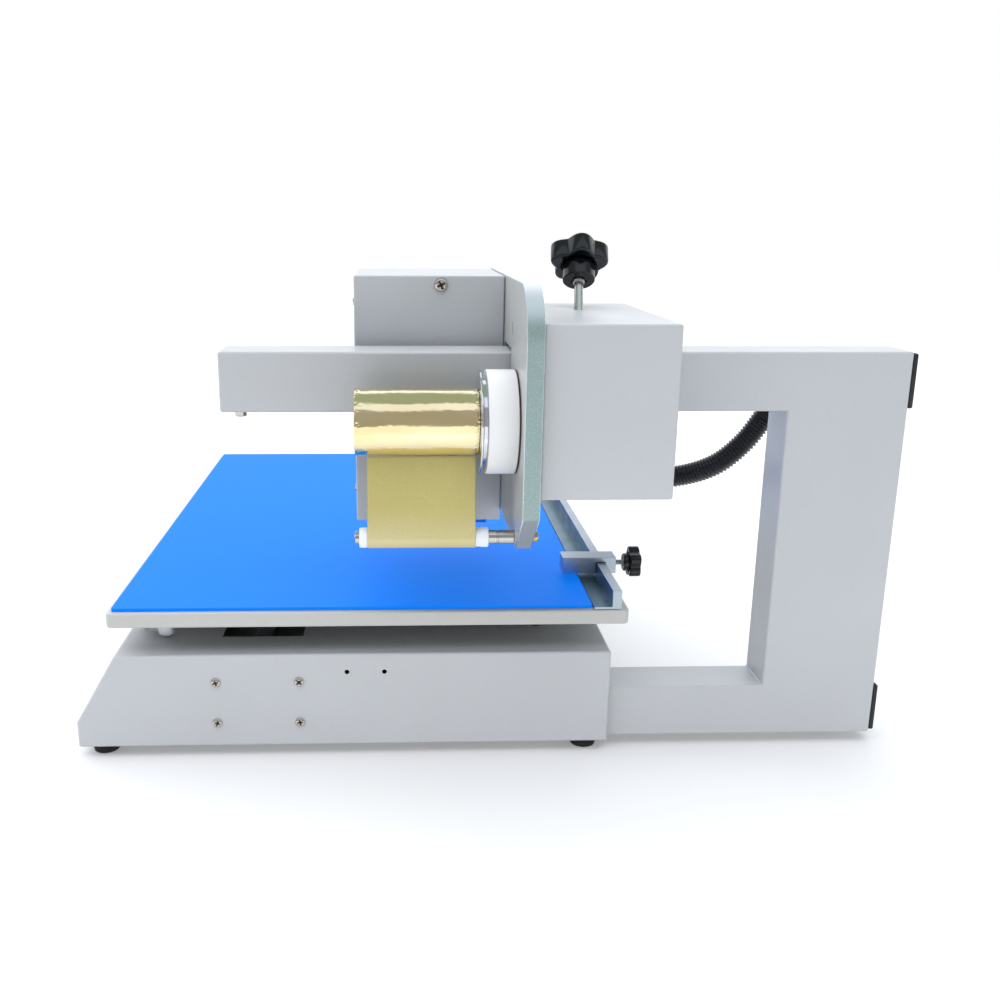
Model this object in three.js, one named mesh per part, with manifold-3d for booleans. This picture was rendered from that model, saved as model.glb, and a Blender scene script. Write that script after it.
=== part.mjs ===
// Desktop digital hot foil stamper: a moving bed under a print head that runs along a cantilever beam.
// Millimetres, +Z up. X runs along the beam to the right and Y towards the back. The dimensions are
// measured from the foot of the base's front left corner, on the table, and the finished group is then
// moved so that its origin is on the table under the middle of the whole machine.
import * as THREE from 'three';
import { mergeVertices } from 'three/addons/utils/BufferGeometryUtils.js';
import Module from 'manifold-3d';

// ---------------------------------------------------------------- driving dimensions

const gap = 0.3;
const sheet = 2;

const base = { width: 448, depth: 520, bottom: 10, top: 92.5, slopeFoot: 32.7, slopeRun: 35 };
const foot = { radius: 11.6, xLeft: 18.5, xRight: 430, yFront: 18, yBack: 502 };
const slot = { x: 152.6, width: 70, front: 40, back: 500 };
const bedHole = { x: 392, y: 62, radius: 4 };
const frontHoles = { xs: [226.7, 257.9], z: 76.4, radius: 2.1 };

const tube = { front: 9.7, back: 53.1, wall: 3 };
const arm = { left: 300, right: 680, bottom: 10, top: 55.4 };
const beam = { left: 130, right: 680, bottom: 293.8, top: 341.5, slotLeft: 150, slotRight: 600 };
const post = { left: 582, right: 680 };
const plugHead = 4.7;
const plugInset = 1.5;

const bed = { left: 31, right: 460.8, front: -3, back: 591, bottom: 118, top: 130.6, corner: 5 };
const pad = { left: 35, right: 430.6, front: 2, back: 588, thickness: 2.6 };
const fence = { left: 431.5, wallLeft: 446.4, right: 454, front: -1.9, top: 146.9, leg: 2.1 };
const slides = { leftX: 152, rightX: 392, front: 405, back: 495, rightFront: 432, rightBack: 492 };
const supportRoller = { y: 44, z: 105.2, radius: 12.4, left: 64, right: 76.2 };

const yDrive = { x0: 200, x1: 206, z: 60, idlerY: 30, motorY: 490 };
const xDrive = { z0: 327, z1: 333, y: 31.4, idlerX: 160, motorX: 645.5 };
const pulleyRadius = 7.5;
const beltInner = 7.8;
const beltOuter = 9.2;

const plate = { left: 358.5, right: 371.2, front: -91.4, back: 199.3, bottom: 199.3, top: 398.3 };
const plateCorner = 40;
const plateChamfer = { y: -49.7, z: 233.2 };
const beamClearance = 3.5;
const box = { left: 371.5, right: 468.5, front: -83.6, back: 110.6, bottom: 245.8, top: 371.8 };
const cover = { left: 234.4, right: 358.2, front: 61.2, back: 184.6, bottom: 190, top: 397.2 };

const supply = { y: -33.8, z: 294.3, spindle: 6, roll: 25.5, rollLeft: 237.8, rollRight: 329.8 };
const drum = { left: 335.2, right: 358.2, radius: 39.2 };
const guide = { y: -42.1, z: 206.3, radius: 7.7, left: 240.3, right: 338.6, shaft: 5.3, shaftLeft: 236.5 };
const takeup = { y: 150, z: 300, roll: 22, spindle: 6 };
const web = { left: 246.7, right: 328.5, thickness: 0.5 };
const headTip = { y: 107, z: 175.5, half: 3 };
const lift = { x: 343.8, y: 128, radius: 3 };

const knob = {
  x: 416.1, y: 40.6, lean: 36, tilt: 4.4, hubStart: 26.8, headStart: 41, headEnd: 59, radius: 24.2,
};
const stop = { left: 416.2, right: 463.8, front: 71.8, back: 91, bottom: 136.8, top: 151.5, screwZ: 144.2 };
const conduitRadius = 10.6;

// ---------------------------------------------------------------- materials

function finish(color, roughness, metalness) {
  return () => new THREE.MeshStandardMaterial({ color, roughness, metalness });
}

const greyCoat = finish(0xc3c9cf, 0.6, 0.0);
const warmCoat = finish(0xd4d5cf, 0.55, 0.0);
const aluminium = finish(0xb4bcbd, 0.4, 0.8);
const steel = finish(0xb8b8b4, 0.25, 1.0);
const darkSteel = finish(0x505458, 0.4, 0.9);
const blackPlastic = finish(0x15171a, 0.35, 0.0);
const rubber = finish(0x17181a, 0.85, 0.0);
const whitePlastic = finish(0xeceeee, 0.5, 0.0);
const nylon = finish(0xd8dce0, 0.5, 0.0);
const bluePad = finish(0x2f93f2, 0.6, 0.0);
const goldFoil = finish(0xd8c07a, 0.2, 1.0);
const greenBoard = finish(0x1d5a36, 0.6, 0.1);

// ---------------------------------------------------------------- solids

const wasm = await Module();
wasm.setup();

function toSolid(geometry) {
  const bare = geometry.clone();
  bare.deleteAttribute('normal');
  bare.deleteAttribute('uv');
  const merged = mergeVertices(bare, 1e-4);
  return new wasm.Manifold(new wasm.Mesh({
    numProp: 3,
    vertProperties: new Float32Array(merged.attributes.position.array),
    triVerts: new Uint32Array(merged.index.array),
  }));
}

function toGeometry(solid) {
  const mesh = solid.getMesh();
  const geometry = new THREE.BufferGeometry();
  geometry.setAttribute('position', new THREE.BufferAttribute(new Float32Array(mesh.vertProperties), 3));
  geometry.setIndex(new THREE.BufferAttribute(new Uint32Array(mesh.triVerts), 1));
  geometry.computeVertexNormals();
  return geometry;
}

function cut(geometry, ...tools) {
  return toGeometry(tools.reduce((solid, tool) => solid.subtract(toSolid(tool)), toSolid(geometry)));
}

function join(geometry, ...others) {
  return toGeometry(others.reduce((solid, other) => solid.add(toSolid(other)), toSolid(geometry)));
}

function common(a, b) {
  return toGeometry(toSolid(a).intersect(toSolid(b)));
}

function block(x0, x1, y0, y1, z0, z1) {
  const geometry = new THREE.BoxGeometry(x1 - x0, y1 - y0, z1 - z0);
  return geometry.translate((x0 + x1) / 2, (y0 + y1) / 2, (z0 + z1) / 2);
}

// Turns a shape's own axes so that its depth runs along X (outline in Y, Z), Y (outline in X, Z) or Z.
function along(axis, geometry, from, to) {
  if (axis === 'x') {
    const basis = new THREE.Matrix4().makeBasis(
      new THREE.Vector3(0, 1, 0), new THREE.Vector3(0, 0, 1), new THREE.Vector3(1, 0, 0));
    return geometry.applyMatrix4(basis).translate(from, 0, 0);
  }
  if (axis === 'y') {
    return geometry.rotateX(Math.PI / 2).translate(0, to, 0);
  }
  return geometry.translate(0, 0, from);
}

function prism(axis, shape, from, to) {
  const options = { depth: to - from, bevelEnabled: false, curveSegments: 8 };
  return along(axis, new THREE.ExtrudeGeometry(shape, options), from, to);
}

function outline(points) {
  return new THREE.Shape(points.map(([a, b]) => new THREE.Vector2(a, b)));
}

function roundedRectangle(a0, a1, b0, b1, r) {
  const shape = new THREE.Shape();
  shape.moveTo(a0 + r, b0);
  shape.lineTo(a1 - r, b0);
  shape.absarc(a1 - r, b0 + r, r, -Math.PI / 2, 0);
  shape.lineTo(a1, b1 - r);
  shape.absarc(a1 - r, b1 - r, r, 0, Math.PI / 2);
  shape.lineTo(a0 + r, b1);
  shape.absarc(a0 + r, b1 - r, r, Math.PI / 2, Math.PI);
  shape.lineTo(a0, b0 + r);
  shape.absarc(a0 + r, b0 + r, r, Math.PI, 1.5 * Math.PI);
  return shape;
}

// A solid of revolution: profile is a list of [radius, position] pairs along the axis.
function turned(axis, profile, a, b, sides = 32) {
  const points = profile.map(([radius, position]) => new THREE.Vector2(radius, position));
  const geometry = new THREE.LatheGeometry(points, sides);
  if (axis === 'x') {
    return geometry.rotateZ(-Math.PI / 2).translate(0, a, b);
  }
  if (axis === 'y') {
    return geometry.translate(a, 0, b);
  }
  return geometry.rotateX(Math.PI / 2).translate(a, b, 0);
}

function rod(axis, radius, from, to, a, b, sides = 32) {
  return turned(axis, [[0, from], [radius, from], [radius, to], [0, to]], a, b, sides);
}

function ring(axis, outer, inner, from, to, a, b, sides = 32) {
  const profile = [[outer, from], [outer, to], [inner, to], [inner, from], [outer, from]];
  return turned(axis, profile, a, b, sides);
}

// A star grip: a five-lobed outline about its own axis, of the stated outer radius.
function starOutline(radius) {
  const points = [];
  const steps = 60;
  for (let i = 0; i < steps; i += 1) {
    const angle = (i / steps) * 2 * Math.PI;
    const lobe = Math.pow((1 + Math.cos(5 * angle)) / 2, 0.8);
    const r = radius * (0.7 + 0.3 * lobe);
    points.push([r * Math.sin(angle), r * Math.cos(angle)]);
  }
  return outline(points.reverse());
}

const stamper = new THREE.Group();

function add(name, geometry, material) {
  const mesh = new THREE.Mesh(geometry, material());
  mesh.name = name;
  stamper.add(mesh);
}

// ---------------------------------------------------------------- base

function baseOutline(inset, bottom) {
  const { width, top, slopeFoot, slopeRun } = base;
  const slopeShift = inset * 0.6;
  return outline([
    [inset, bottom],
    [width - inset, bottom],
    [width - inset, top - inset],
    [slopeRun + slopeShift, top - inset],
    [inset, slopeFoot + slopeShift - inset * 0.3],
  ]);
}

const armHole = block(arm.left - gap, base.width + 5, tube.front - 0.5, tube.back + 0.5, 5, arm.top + 0.5);
const inlet = { left: 340, right: 394, bottom: 36, top: 68 };
const inletHole = block(inlet.left, inlet.right, base.depth - 10, base.depth + 5, inlet.bottom, inlet.top);
const slotHole = block(slot.x - slot.width / 2, slot.x + slot.width / 2, slot.front, slot.back,
  base.top - 10, base.top + 5);

add('base_shell', cut(
  prism('y', baseOutline(0, base.bottom), 0, base.depth),
  prism('y', baseOutline(sheet, base.bottom - 5), sheet, base.depth - sheet),
  slotHole,
  rod('z', bedHole.radius, base.top - 5, base.top + 5, bedHole.x, bedHole.y, 20),
  rod('y', frontHoles.radius, -5, 5, frontHoles.xs[0], frontHoles.z, 16),
  rod('y', frontHoles.radius, -5, 5, frontHoles.xs[1], frontHoles.z, 16),
  armHole,
  inletHole,
), greyCoat);

const floorTop = base.bottom + gap + sheet;
add('base_bottom_plate', cut(
  block(sheet + gap, base.width - sheet - gap, sheet + gap, base.depth - sheet - gap,
    base.bottom + gap, floorTop),
  armHole,
), greyCoat);

function addFoot(name, x, y) {
  const top = base.bottom - gap;
  const profile = [[0, 0], [foot.radius - 2, 0], [foot.radius - 0.6, 1.5], [foot.radius, top], [0, top]];
  add(name, turned('z', profile, x, y, 28), rubber);
}

addFoot('foot_front_left', foot.xLeft, foot.yFront);
addFoot('foot_front_right', foot.xRight, foot.yFront);
addFoot('foot_rear_left', foot.xLeft, foot.yBack);
addFoot('foot_rear_right', foot.xRight, foot.yBack);

// The channel under the slot carries the main bed rail and the front belt pulley's pin.
const channel = { left: 108, right: 196, bottom: 20, top: 74, wall: 3 };
const pinRadius = 2.5;
add('rail_beam', join(
  cut(
    block(channel.left, channel.right, sheet + gap, base.depth - sheet - gap, channel.bottom, channel.top),
    block(channel.left + channel.wall, channel.right - channel.wall, 0, base.depth,
      channel.bottom - 5, channel.top - channel.wall),
  ),
  rod('x', pinRadius, channel.right - 1, yDrive.x1 + 2, yDrive.idlerY, yDrive.z, 20),
  rod('x', 4, channel.right - 1, yDrive.x0 - 0.5, yDrive.idlerY, yDrive.z, 20),
), darkSteel);

const railHalf = 7.5;
const leftRail = { bottom: channel.top + gap, top: 88 };
const rightRail = { bottom: base.top + gap, top: 104 };
add('y_rail_left', block(slides.leftX - railHalf, slides.leftX + railHalf, 16, 500,
  leftRail.bottom, leftRail.top), steel);
add('y_rail_right', block(slides.rightX - railHalf, slides.rightX + railHalf, 70, 500,
  rightRail.bottom, rightRail.top), steel);

// ---------------------------------------------------------------- support roller under the bed's front

const rollerAxle = 3;
add('roller_bracket', join(
  block(56, supportRoller.left - 0.4, 38, 80, 99, 111),
  block(45, supportRoller.left - 0.4, 62, 80, base.top + gap, 99.5),
  rod('x', rollerAxle, 60, supportRoller.right + 2.5, supportRoller.y, supportRoller.z, 20),
  rod('x', 4.5, supportRoller.right + 0.4, supportRoller.right + 2.5, supportRoller.y, supportRoller.z, 20),
), darkSteel);

function crownedRoller(item, bore) {
  const { radius, left, right } = item;
  const middle = (left + right) / 2;
  return [[radius - 3, left], [radius - 0.8, left + 2], [radius, middle], [radius - 0.8, right - 2],
    [radius - 3, right], [bore, right], [bore, left], [radius - 3, left]];
}

add('support_roller', turned('x', crownedRoller(supportRoller, rollerAxle + 0.08),
  supportRoller.y, supportRoller.z, 28), nylon);

// ---------------------------------------------------------------- belt drives

function beltLoop(axis, from, to, start, end, cross) {
  const loop = (radius) => {
    const shape = new THREE.Shape();
    shape.absarc(start, cross, radius, Math.PI / 2, 1.5 * Math.PI);
    shape.absarc(end, cross, radius, -Math.PI / 2, Math.PI / 2);
    return shape;
  };
  return cut(prism(axis, loop(beltOuter), from, to), prism(axis, loop(beltInner), from - 1, to + 1));
}

function pulleyOn(axis, from, to, a, b) {
  return ring(axis, pulleyRadius, pinRadius + 0.08, from - 0.2, to + 0.2, a, b, 28);
}

function pulleyWithShaft(axis, from, to, shaftFrom, shaftTo, a, b) {
  return join(
    rod(axis, pulleyRadius, from - 0.2, to + 0.2, a, b, 28),
    rod(axis, pinRadius, shaftFrom, shaftTo, a, b, 20),
  );
}

const motorLeft = 210;
add('y_belt', beltLoop('x', yDrive.x0, yDrive.x1, yDrive.idlerY, yDrive.motorY, yDrive.z), rubber);
add('y_idler_pulley', pulleyOn('x', yDrive.x0, yDrive.x1, yDrive.idlerY, yDrive.z), aluminium);
add('y_drive_pulley', pulleyWithShaft('x', yDrive.x0, yDrive.x1, yDrive.x0, motorLeft + 10,
  yDrive.motorY, yDrive.z), aluminium);
add('y_motor', cut(
  block(motorLeft, motorLeft + 40, yDrive.motorY - 21, yDrive.motorY + 21, yDrive.z - 21, yDrive.z + 21),
  rod('x', pinRadius + 0.2, motorLeft - 1, motorLeft + 12, yDrive.motorY, yDrive.z, 20),
), darkSteel);

const xMotorTop = 323;
const xMotorBottom = beam.bottom + tube.wall + gap;
add('x_belt', beltLoop('z', xDrive.z0, xDrive.z1, xDrive.idlerX, xDrive.motorX, xDrive.y), rubber);
add('x_idler_pulley', pulleyOn('z', xDrive.z0, xDrive.z1, xDrive.idlerX, xDrive.y), aluminium);
add('x_drive_pulley', pulleyWithShaft('z', xDrive.z0, xDrive.z1, xMotorTop - 10, xDrive.z1,
  xDrive.motorX, xDrive.y), aluminium);
add('x_motor', cut(
  block(xDrive.motorX - 17.5, xDrive.motorX + 17.5, xDrive.y - 17.5, xDrive.y + 17.5,
    xMotorBottom, xMotorTop),
  rod('z', pinRadius + 0.2, xMotorTop - 12, xMotorTop + 1, xDrive.motorX, xDrive.y, 20),
), darkSteel);

// ---------------------------------------------------------------- cantilever frame

function tubeAlongX(left, right, bottom, top, innerLeft, innerRight) {
  return cut(
    block(left, right, tube.front, tube.back, bottom, top),
    block(innerLeft, innerRight, tube.front + tube.wall, tube.back - tube.wall,
      bottom + tube.wall, top - tube.wall),
  );
}

const beamInside = beam.bottom + tube.wall;
add('beam_tube', join(
  cut(
    tubeAlongX(beam.left, beam.right, beam.bottom, beam.top, beam.left + tube.wall, beam.right + 5),
    block(beam.slotLeft, beam.slotRight, tube.back - 5, tube.back + 5, 299, 336),
  ),
  rod('z', 4, beamInside - 1, xDrive.z0 - 0.5, xDrive.idlerX, xDrive.y, 20),
  rod('z', pinRadius, beamInside - 1, xDrive.z1 + 2, xDrive.idlerX, xDrive.y, 20),
), greyCoat);

add('post_tube', cut(
  block(post.left, post.right, tube.front, tube.back, arm.top + gap, beam.bottom - gap),
  block(post.left + tube.wall, post.right - tube.wall, tube.front + tube.wall, tube.back - tube.wall,
    arm.top - 5, beam.bottom + 5),
), greyCoat);

add('lower_arm_tube', tubeAlongX(arm.left, arm.right, arm.bottom, arm.top, arm.left - 5, arm.right + 5),
  greyCoat);

function addPlug(name, bottom, top) {
  const inset = tube.wall + gap;
  add(name, join(
    block(beam.right + gap, beam.right + plugHead, tube.front + plugInset, tube.back - plugInset,
      bottom + plugInset, top - plugInset),
    block(beam.right - 10, beam.right + 1, tube.front + inset, tube.back - inset, bottom + inset, top - inset),
  ), blackPlastic);
}

addPlug('end_plug_upper', beam.bottom, beam.top);
addPlug('end_plug_lower', arm.bottom, arm.top);

const xRail = { left: 175, right: 610, depth: 7.5, bottom: 305, top: 317 };
const xRailFront = tube.front + tube.wall + gap;
add('x_rail', block(xRail.left, xRail.right, xRailFront, xRailFront + xRail.depth, xRail.bottom, xRail.top),
  steel);

// ---------------------------------------------------------------- electrics in the base

const boardTop = floorTop + 8;
add('control_board', join(
  block(220, 320, 200, 340, boardTop - 1.6, boardTop),
  block(230, 250, 215, 250, boardTop - 0.5, boardTop + 10),
  block(262, 300, 230, 268, boardTop - 0.5, boardTop + 4),
  block(228, 300, 310, 334, boardTop - 0.5, boardTop + 12),
  rod('z', 3, floorTop + gap, boardTop - 1, 226, 206, 16),
  rod('z', 3, floorTop + gap, boardTop - 1, 314, 206, 16),
  rod('z', 3, floorTop + gap, boardTop - 1, 226, 334, 16),
  rod('z', 3, floorTop + gap, boardTop - 1, 314, 334, 16),
), greenBoard);

add('power_supply', block(332, 432, 180, 380, floorTop + gap, 50), aluminium);

const rocker = { left: 374, right: 390, z: 52, y: base.depth - 6, half: 9, proud: 4.5, tilt: 8 };
const flangeBack = base.depth + gap + 2.5;
add('power_inlet', cut(
  join(
    block(inlet.left - 5, inlet.right + 5, base.depth + gap, flangeBack, inlet.bottom - 4, inlet.top + 4),
    block(inlet.left + gap, inlet.right - gap, base.depth - 30, base.depth + 1,
      inlet.bottom + gap, inlet.top - gap),
  ),
  block(rocker.left - 0.5, rocker.right + 0.5, rocker.y - 8, flangeBack + 5, rocker.z - 11, rocker.z + 11),
  block(inlet.left + 4, inlet.left + 29, base.depth - 15, flangeBack + 5, rocker.z - 9, rocker.z + 9),
), blackPlastic);

const rockerShape = outline([
  [rocker.y - 3, rocker.z - 5],
  [rocker.y + 4, rocker.z - rocker.half],
  [flangeBack + rocker.proud - 2, rocker.z - rocker.half],
  [flangeBack + rocker.proud - 3.5, rocker.z],
  [flangeBack + rocker.proud - 2, rocker.z + rocker.half],
  [rocker.y + 4, rocker.z + rocker.half],
  [rocker.y - 3, rocker.z + 5],
]);
const rockerTilt = THREE.MathUtils.degToRad(-rocker.tilt);
add('power_switch', prism('x', rockerShape, rocker.left, rocker.right)
  .translate(0, -rocker.y, -rocker.z)
  .rotateX(rockerTilt)
  .translate(0, rocker.y, rocker.z), blackPlastic);

// ---------------------------------------------------------------- bed

add('bed_plate', prism('z', roundedRectangle(bed.left, bed.right, bed.front, bed.back, bed.corner),
  bed.bottom, bed.top), warmCoat);

const padBottom = bed.top + gap;
add('silicone_pad', prism('z', roundedRectangle(pad.left, pad.right, pad.front, pad.back, 2),
  padBottom, padBottom + pad.thickness), bluePad);

add('fence_rail', prism('y', outline([
  [fence.left, padBottom],
  [fence.right, padBottom],
  [fence.right, fence.top],
  [fence.wallLeft, fence.top],
  [fence.wallLeft, padBottom + fence.leg],
  [fence.left, padBottom + fence.leg],
]), fence.front, bed.back - 2), aluminium);

const slideTop = bed.bottom - gap;
const railPlay = railHalf + gap;
const beltTop = yDrive.z + beltOuter;
add('bed_slide_left', join(
  cut(
    block(slides.leftX - 23.5, slides.leftX + 23.5, slides.front, slides.back, 77, 98),
    block(slides.leftX - railPlay, slides.leftX + railPlay, slides.front - 5, slides.back + 5,
      70, leftRail.top + gap),
  ),
  block(slides.leftX - 28, slides.leftX + 28, slides.front + 5, slides.back - 5, 97, slideTop),
  block(slides.leftX + 20, yDrive.x1, 425, 455, 82, 89),
  block(yDrive.x0, yDrive.x1, 425, 455, beltTop + gap, 83),
), darkSteel);

add('bed_slide_right', cut(
  block(slides.rightX - 18, slides.rightX + 18, slides.rightFront, slides.rightBack, 95.5, slideTop),
  block(slides.rightX - railPlay, slides.rightX + railPlay, slides.rightFront - 5, slides.rightBack + 5,
    90, rightRail.top + gap),
), darkSteel);

// ---------------------------------------------------------------- sliding stop on the fence

const stopMiddle = (stop.front + stop.back) / 2;
const stopScrew = 2.5;
add('stop_block', cut(
  block(stop.left, stop.right, stop.front, stop.back, stop.bottom, stop.top),
  block(fence.wallLeft - gap, fence.right + gap, stop.front - 5, stop.back + 5,
    stop.bottom - 5, fence.top + gap),
  rod('x', stopScrew + 0.1, fence.right, stop.right + 5, stopMiddle, stop.screwZ, 20),
), aluminium);

const stopPad = { left: 454.9, right: 457.3 };
add('stop_pad', rod('x', stopScrew - 0.3, stopPad.left, stopPad.right, stopMiddle, stop.screwZ, 20), nylon);

const stopKnob = { hubLeft: 471.8, lobesLeft: 476.5, right: 487, radius: 14.2 };
const stopStar = prism('x', starOutline(stopKnob.radius), stopKnob.lobesLeft, stopKnob.right)
  .translate(0, stopMiddle, stop.screwZ);
add('stop_knob', join(
  rod('x', stopScrew, stopPad.right + gap, stopKnob.right - 2, stopMiddle, stop.screwZ, 20),
  rod('x', 8, stopKnob.hubLeft, stopKnob.right - 2, stopMiddle, stop.screwZ, 24),
  stopStar,
), blackPlastic);

// ---------------------------------------------------------------- head carriage

function plateOutline() {
  const shape = new THREE.Shape();
  shape.moveTo(plateChamfer.y, plate.bottom);
  shape.lineTo(plate.back, plate.bottom);
  shape.lineTo(plate.back, plate.top);
  shape.lineTo(plate.front + plateCorner, plate.top);
  shape.absarc(plate.front + plateCorner, plate.top - plateCorner, plateCorner, Math.PI / 2, Math.PI);
  shape.lineTo(plate.front, plateChamfer.z);
  return shape;
}

function beamPassage(left, right) {
  return block(left, right, tube.front - beamClearance, tube.back + beamClearance,
    beam.bottom - beamClearance, beam.top + beamClearance);
}

const guideStud = 4;
const spindleBore = supply.spindle + 0.3;
const markSlot = { y: 0, bottom: 356, top: 366, half: 1.5 };
add('side_plate', cut(
  prism('x', plateOutline(), plate.left, plate.right),
  beamPassage(plate.left - 5, plate.right + 5),
  rod('x', spindleBore, plate.left - 5, plate.right + 5, supply.y, supply.z, 28),
  rod('x', spindleBore, plate.left - 5, plate.right + 5, takeup.y, takeup.z, 28),
  rod('x', guideStud + 0.2, plate.left - 5, plate.right + 5, guide.y, guide.z, 24),
  block(plate.left - 1, plate.left + 3, markSlot.y - markSlot.half, markSlot.y + markSlot.half,
    markSlot.bottom, markSlot.top),
), aluminium);

// The pressure screw leans back and a little right; it is built upright and then leaned about the box's top.
function leaned(geometry) {
  return geometry
    .rotateX(THREE.MathUtils.degToRad(-knob.lean))
    .rotateY(THREE.MathUtils.degToRad(knob.tilt))
    .translate(knob.x, knob.y, box.top);
}

const screwRadius = 3.8;
const headGland = { x: 448, z: 330, bore: 8 };
add('drive_box', cut(
  join(
    cut(
      block(box.left, box.right, box.front, box.back, box.bottom, box.top),
      block(box.left - 5, box.right - sheet, box.front + sheet, box.back - sheet,
        box.bottom + sheet, box.top - sheet),
    ),
    common(
      leaned(rod('z', 9, -17, 10, 0, 0, 28)),
      block(box.left, box.right, 0, box.back, box.bottom, box.top - 0.5),
    ),
  ),
  leaned(rod('z', screwRadius + 0.3, -30, 20, 0, 0, 24)),
  beamPassage(box.right - 10, box.right + 5),
  rod('y', headGland.bore, box.back - 10, box.back + 5, headGland.x, headGland.z, 24),
), greyCoat);

add('head_cover', cut(
  block(cover.left, cover.right, cover.front, cover.back, cover.bottom, cover.top),
  block(cover.left + sheet, cover.right + 5, cover.front + sheet, cover.back - sheet,
    cover.bottom - 5, cover.top - sheet),
), greyCoat);

// The rail block sits inside the beam; its arm comes out of the beam's back and holds the side plate.
const xBlock = { left: 385, right: 455, front: 16, back: 27, bottom: 297.5, top: 324.5 };
add('x_slide_block', join(
  cut(
    block(xBlock.left, xBlock.right, xBlock.front, xBlock.back, xBlock.bottom, xBlock.top),
    block(xBlock.left - 5, xBlock.right + 5, xBlock.front - 5, xRailFront + xRail.depth + gap,
      xRail.bottom - gap, xRail.top + gap),
  ),
  block(400, 450, xBlock.back - 1, 60, 302, 322),
  block(415, 440, 38.5, 42, 320, xDrive.z0 - gap),
  block(plate.right + gap, 455, 57, 63, 299, 338),
), darkSteel);

const pressRail = { left: 350.5, front: 96, back: 111, bottom: 225, top: 372 };
add('press_rail', block(pressRail.left, plate.left - gap, pressRail.front, pressRail.back,
  pressRail.bottom, pressRail.top), steel);

// ---------------------------------------------------------------- print unit, pressed down on the work

const nutBore = lift.radius + 0.25;
add('press_frame', cut(
  join(
    cut(
      block(340, 357, 90, 117, 232, 300),
      block(pressRail.left - gap, 365, pressRail.front - gap, pressRail.back + gap, 225, 305),
    ),
    block(340, pressRail.left - gap, 92, 116, 213, 240),
    block(246, 341, 92, 116, 213, 225),
    block(334, 354, 116.5, 138, 262, 278),
  ),
  rod('z', nutBore, 255, 285, lift.x, lift.y, 24),
), aluminium);

const headTop = 213 - gap;
add('print_head', prism('x', outline([
  [headTip.y - headTip.half, headTip.z],
  [headTip.y + headTip.half, headTip.z],
  [114, 196],
  [114, headTop],
  [94, headTop],
  [94, 196],
]), 247, 350), aluminium);

const liftMotor = { bottom: 344.5, top: 384.5, half: 14 };
add('lift_motor', cut(
  block(lift.x - liftMotor.half, lift.x + liftMotor.half, lift.y - liftMotor.half, lift.y + liftMotor.half,
    liftMotor.bottom, liftMotor.top),
  rod('z', lift.radius + 0.2, liftMotor.bottom - 1, liftMotor.bottom + 8, lift.x, lift.y, 24),
), darkSteel);
add('lift_screw', rod('z', lift.radius, 212, liftMotor.bottom + 6, lift.x, lift.y, 24), steel);

// ---------------------------------------------------------------- foil supply

const spindleEnd = 377;
add('supply_spindle', turned('x', [
  [0, 240],
  [supply.spindle, 240],
  [supply.spindle, plate.right + gap],
  [9.5, plate.right + gap],
  [9.5, spindleEnd],
  [0, spindleEnd],
], supply.y, supply.z, 28), steel);

add('foil_roll', ring('x', supply.roll, supply.spindle + gap, supply.rollLeft, supply.rollRight,
  supply.y, supply.z, 48), goldFoil);

const flangeLeft = supply.rollRight + gap;
const flangeRight = flangeLeft + 1.5;
add('spool_flange', ring('x', drum.radius, supply.spindle + gap, flangeLeft, flangeRight,
  supply.y, supply.z, 56), steel);

add('brake_drum', turned('x', [
  [drum.radius - 6, flangeRight + gap],
  [drum.radius - 6, drum.left],
  [drum.radius, drum.left],
  [drum.radius, drum.right],
  [supply.spindle + gap, drum.right],
  [supply.spindle + gap, flangeRight + gap],
  [drum.radius - 6, flangeRight + gap],
], supply.y, supply.z, 56), whitePlastic);

// ---------------------------------------------------------------- guide roller and foil web

add('guide_shaft', turned('x', [
  [0, guide.shaftLeft],
  [guide.shaft, guide.shaftLeft],
  [guide.shaft, guide.left - 1],
  [guide.shaft - 0.8, guide.left - 0.2],
  [guide.shaft - 0.8, guide.right + 0.2],
  [guide.shaft, guide.right + 1],
  [guide.shaft, plate.left - gap],
  [guideStud, plate.left - gap],
  [guideStud, spindleEnd],
  [0, spindleEnd],
], guide.y, guide.z, 28), steel);

add('guide_roller', ring('x', guide.radius, guide.shaft - 0.7, guide.left, guide.right,
  guide.y, guide.z, 36), nylon);

function ribbon(points, thickness) {
  const half = thickness / 2;
  const side = (sign) => points.map(([a, b], i) => {
    const [pa, pb] = points[Math.max(i - 1, 0)];
    const [na, nb] = points[Math.min(i + 1, points.length - 1)];
    const length = Math.hypot(na - pa, nb - pb);
    return [a - (sign * half * (nb - pb)) / length, b + (sign * half * (na - pa)) / length];
  });
  return outline([...side(-1), ...side(1).reverse()]);
}

const webStandOff = gap + web.thickness / 2;
function webPath() {
  const rollReach = supply.roll + webStandOff;
  const leaveY = -41;
  const leaveZ = supply.z - Math.sqrt(rollReach ** 2 - (supply.y - leaveY) ** 2);
  const points = [[leaveY, leaveZ]];
  const guideReach = guide.radius + webStandOff;
  const turns = 8;
  for (let i = 0; i <= turns; i += 1) {
    const angle = Math.PI * (1 + (0.5 * i) / turns);
    points.push([guide.y + guideReach * Math.cos(angle), guide.z + guideReach * Math.sin(angle)]);
  }
  const tipZ = headTip.z - webStandOff;
  const tipBack = headTip.y + headTip.half + 1;
  points.push([headTip.y - headTip.half - 1, tipZ], [tipBack, tipZ]);

  // From the head the web rises straight to the back of the take-up roll, which it meets as a tangent.
  const takeupReach = takeup.roll + webStandOff;
  const rise = Math.atan2(takeup.z - tipZ, takeup.y - tipBack);
  const distance = Math.hypot(takeup.z - tipZ, takeup.y - tipBack);
  const touch = rise - Math.asin(takeupReach / distance) - Math.PI / 2;
  points.push([takeup.y + takeupReach * Math.cos(touch), takeup.z + takeupReach * Math.sin(touch)]);
  return points;
}

add('foil_web', prism('x', ribbon(webPath(), web.thickness), web.left, web.right), goldFoil);

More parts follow.
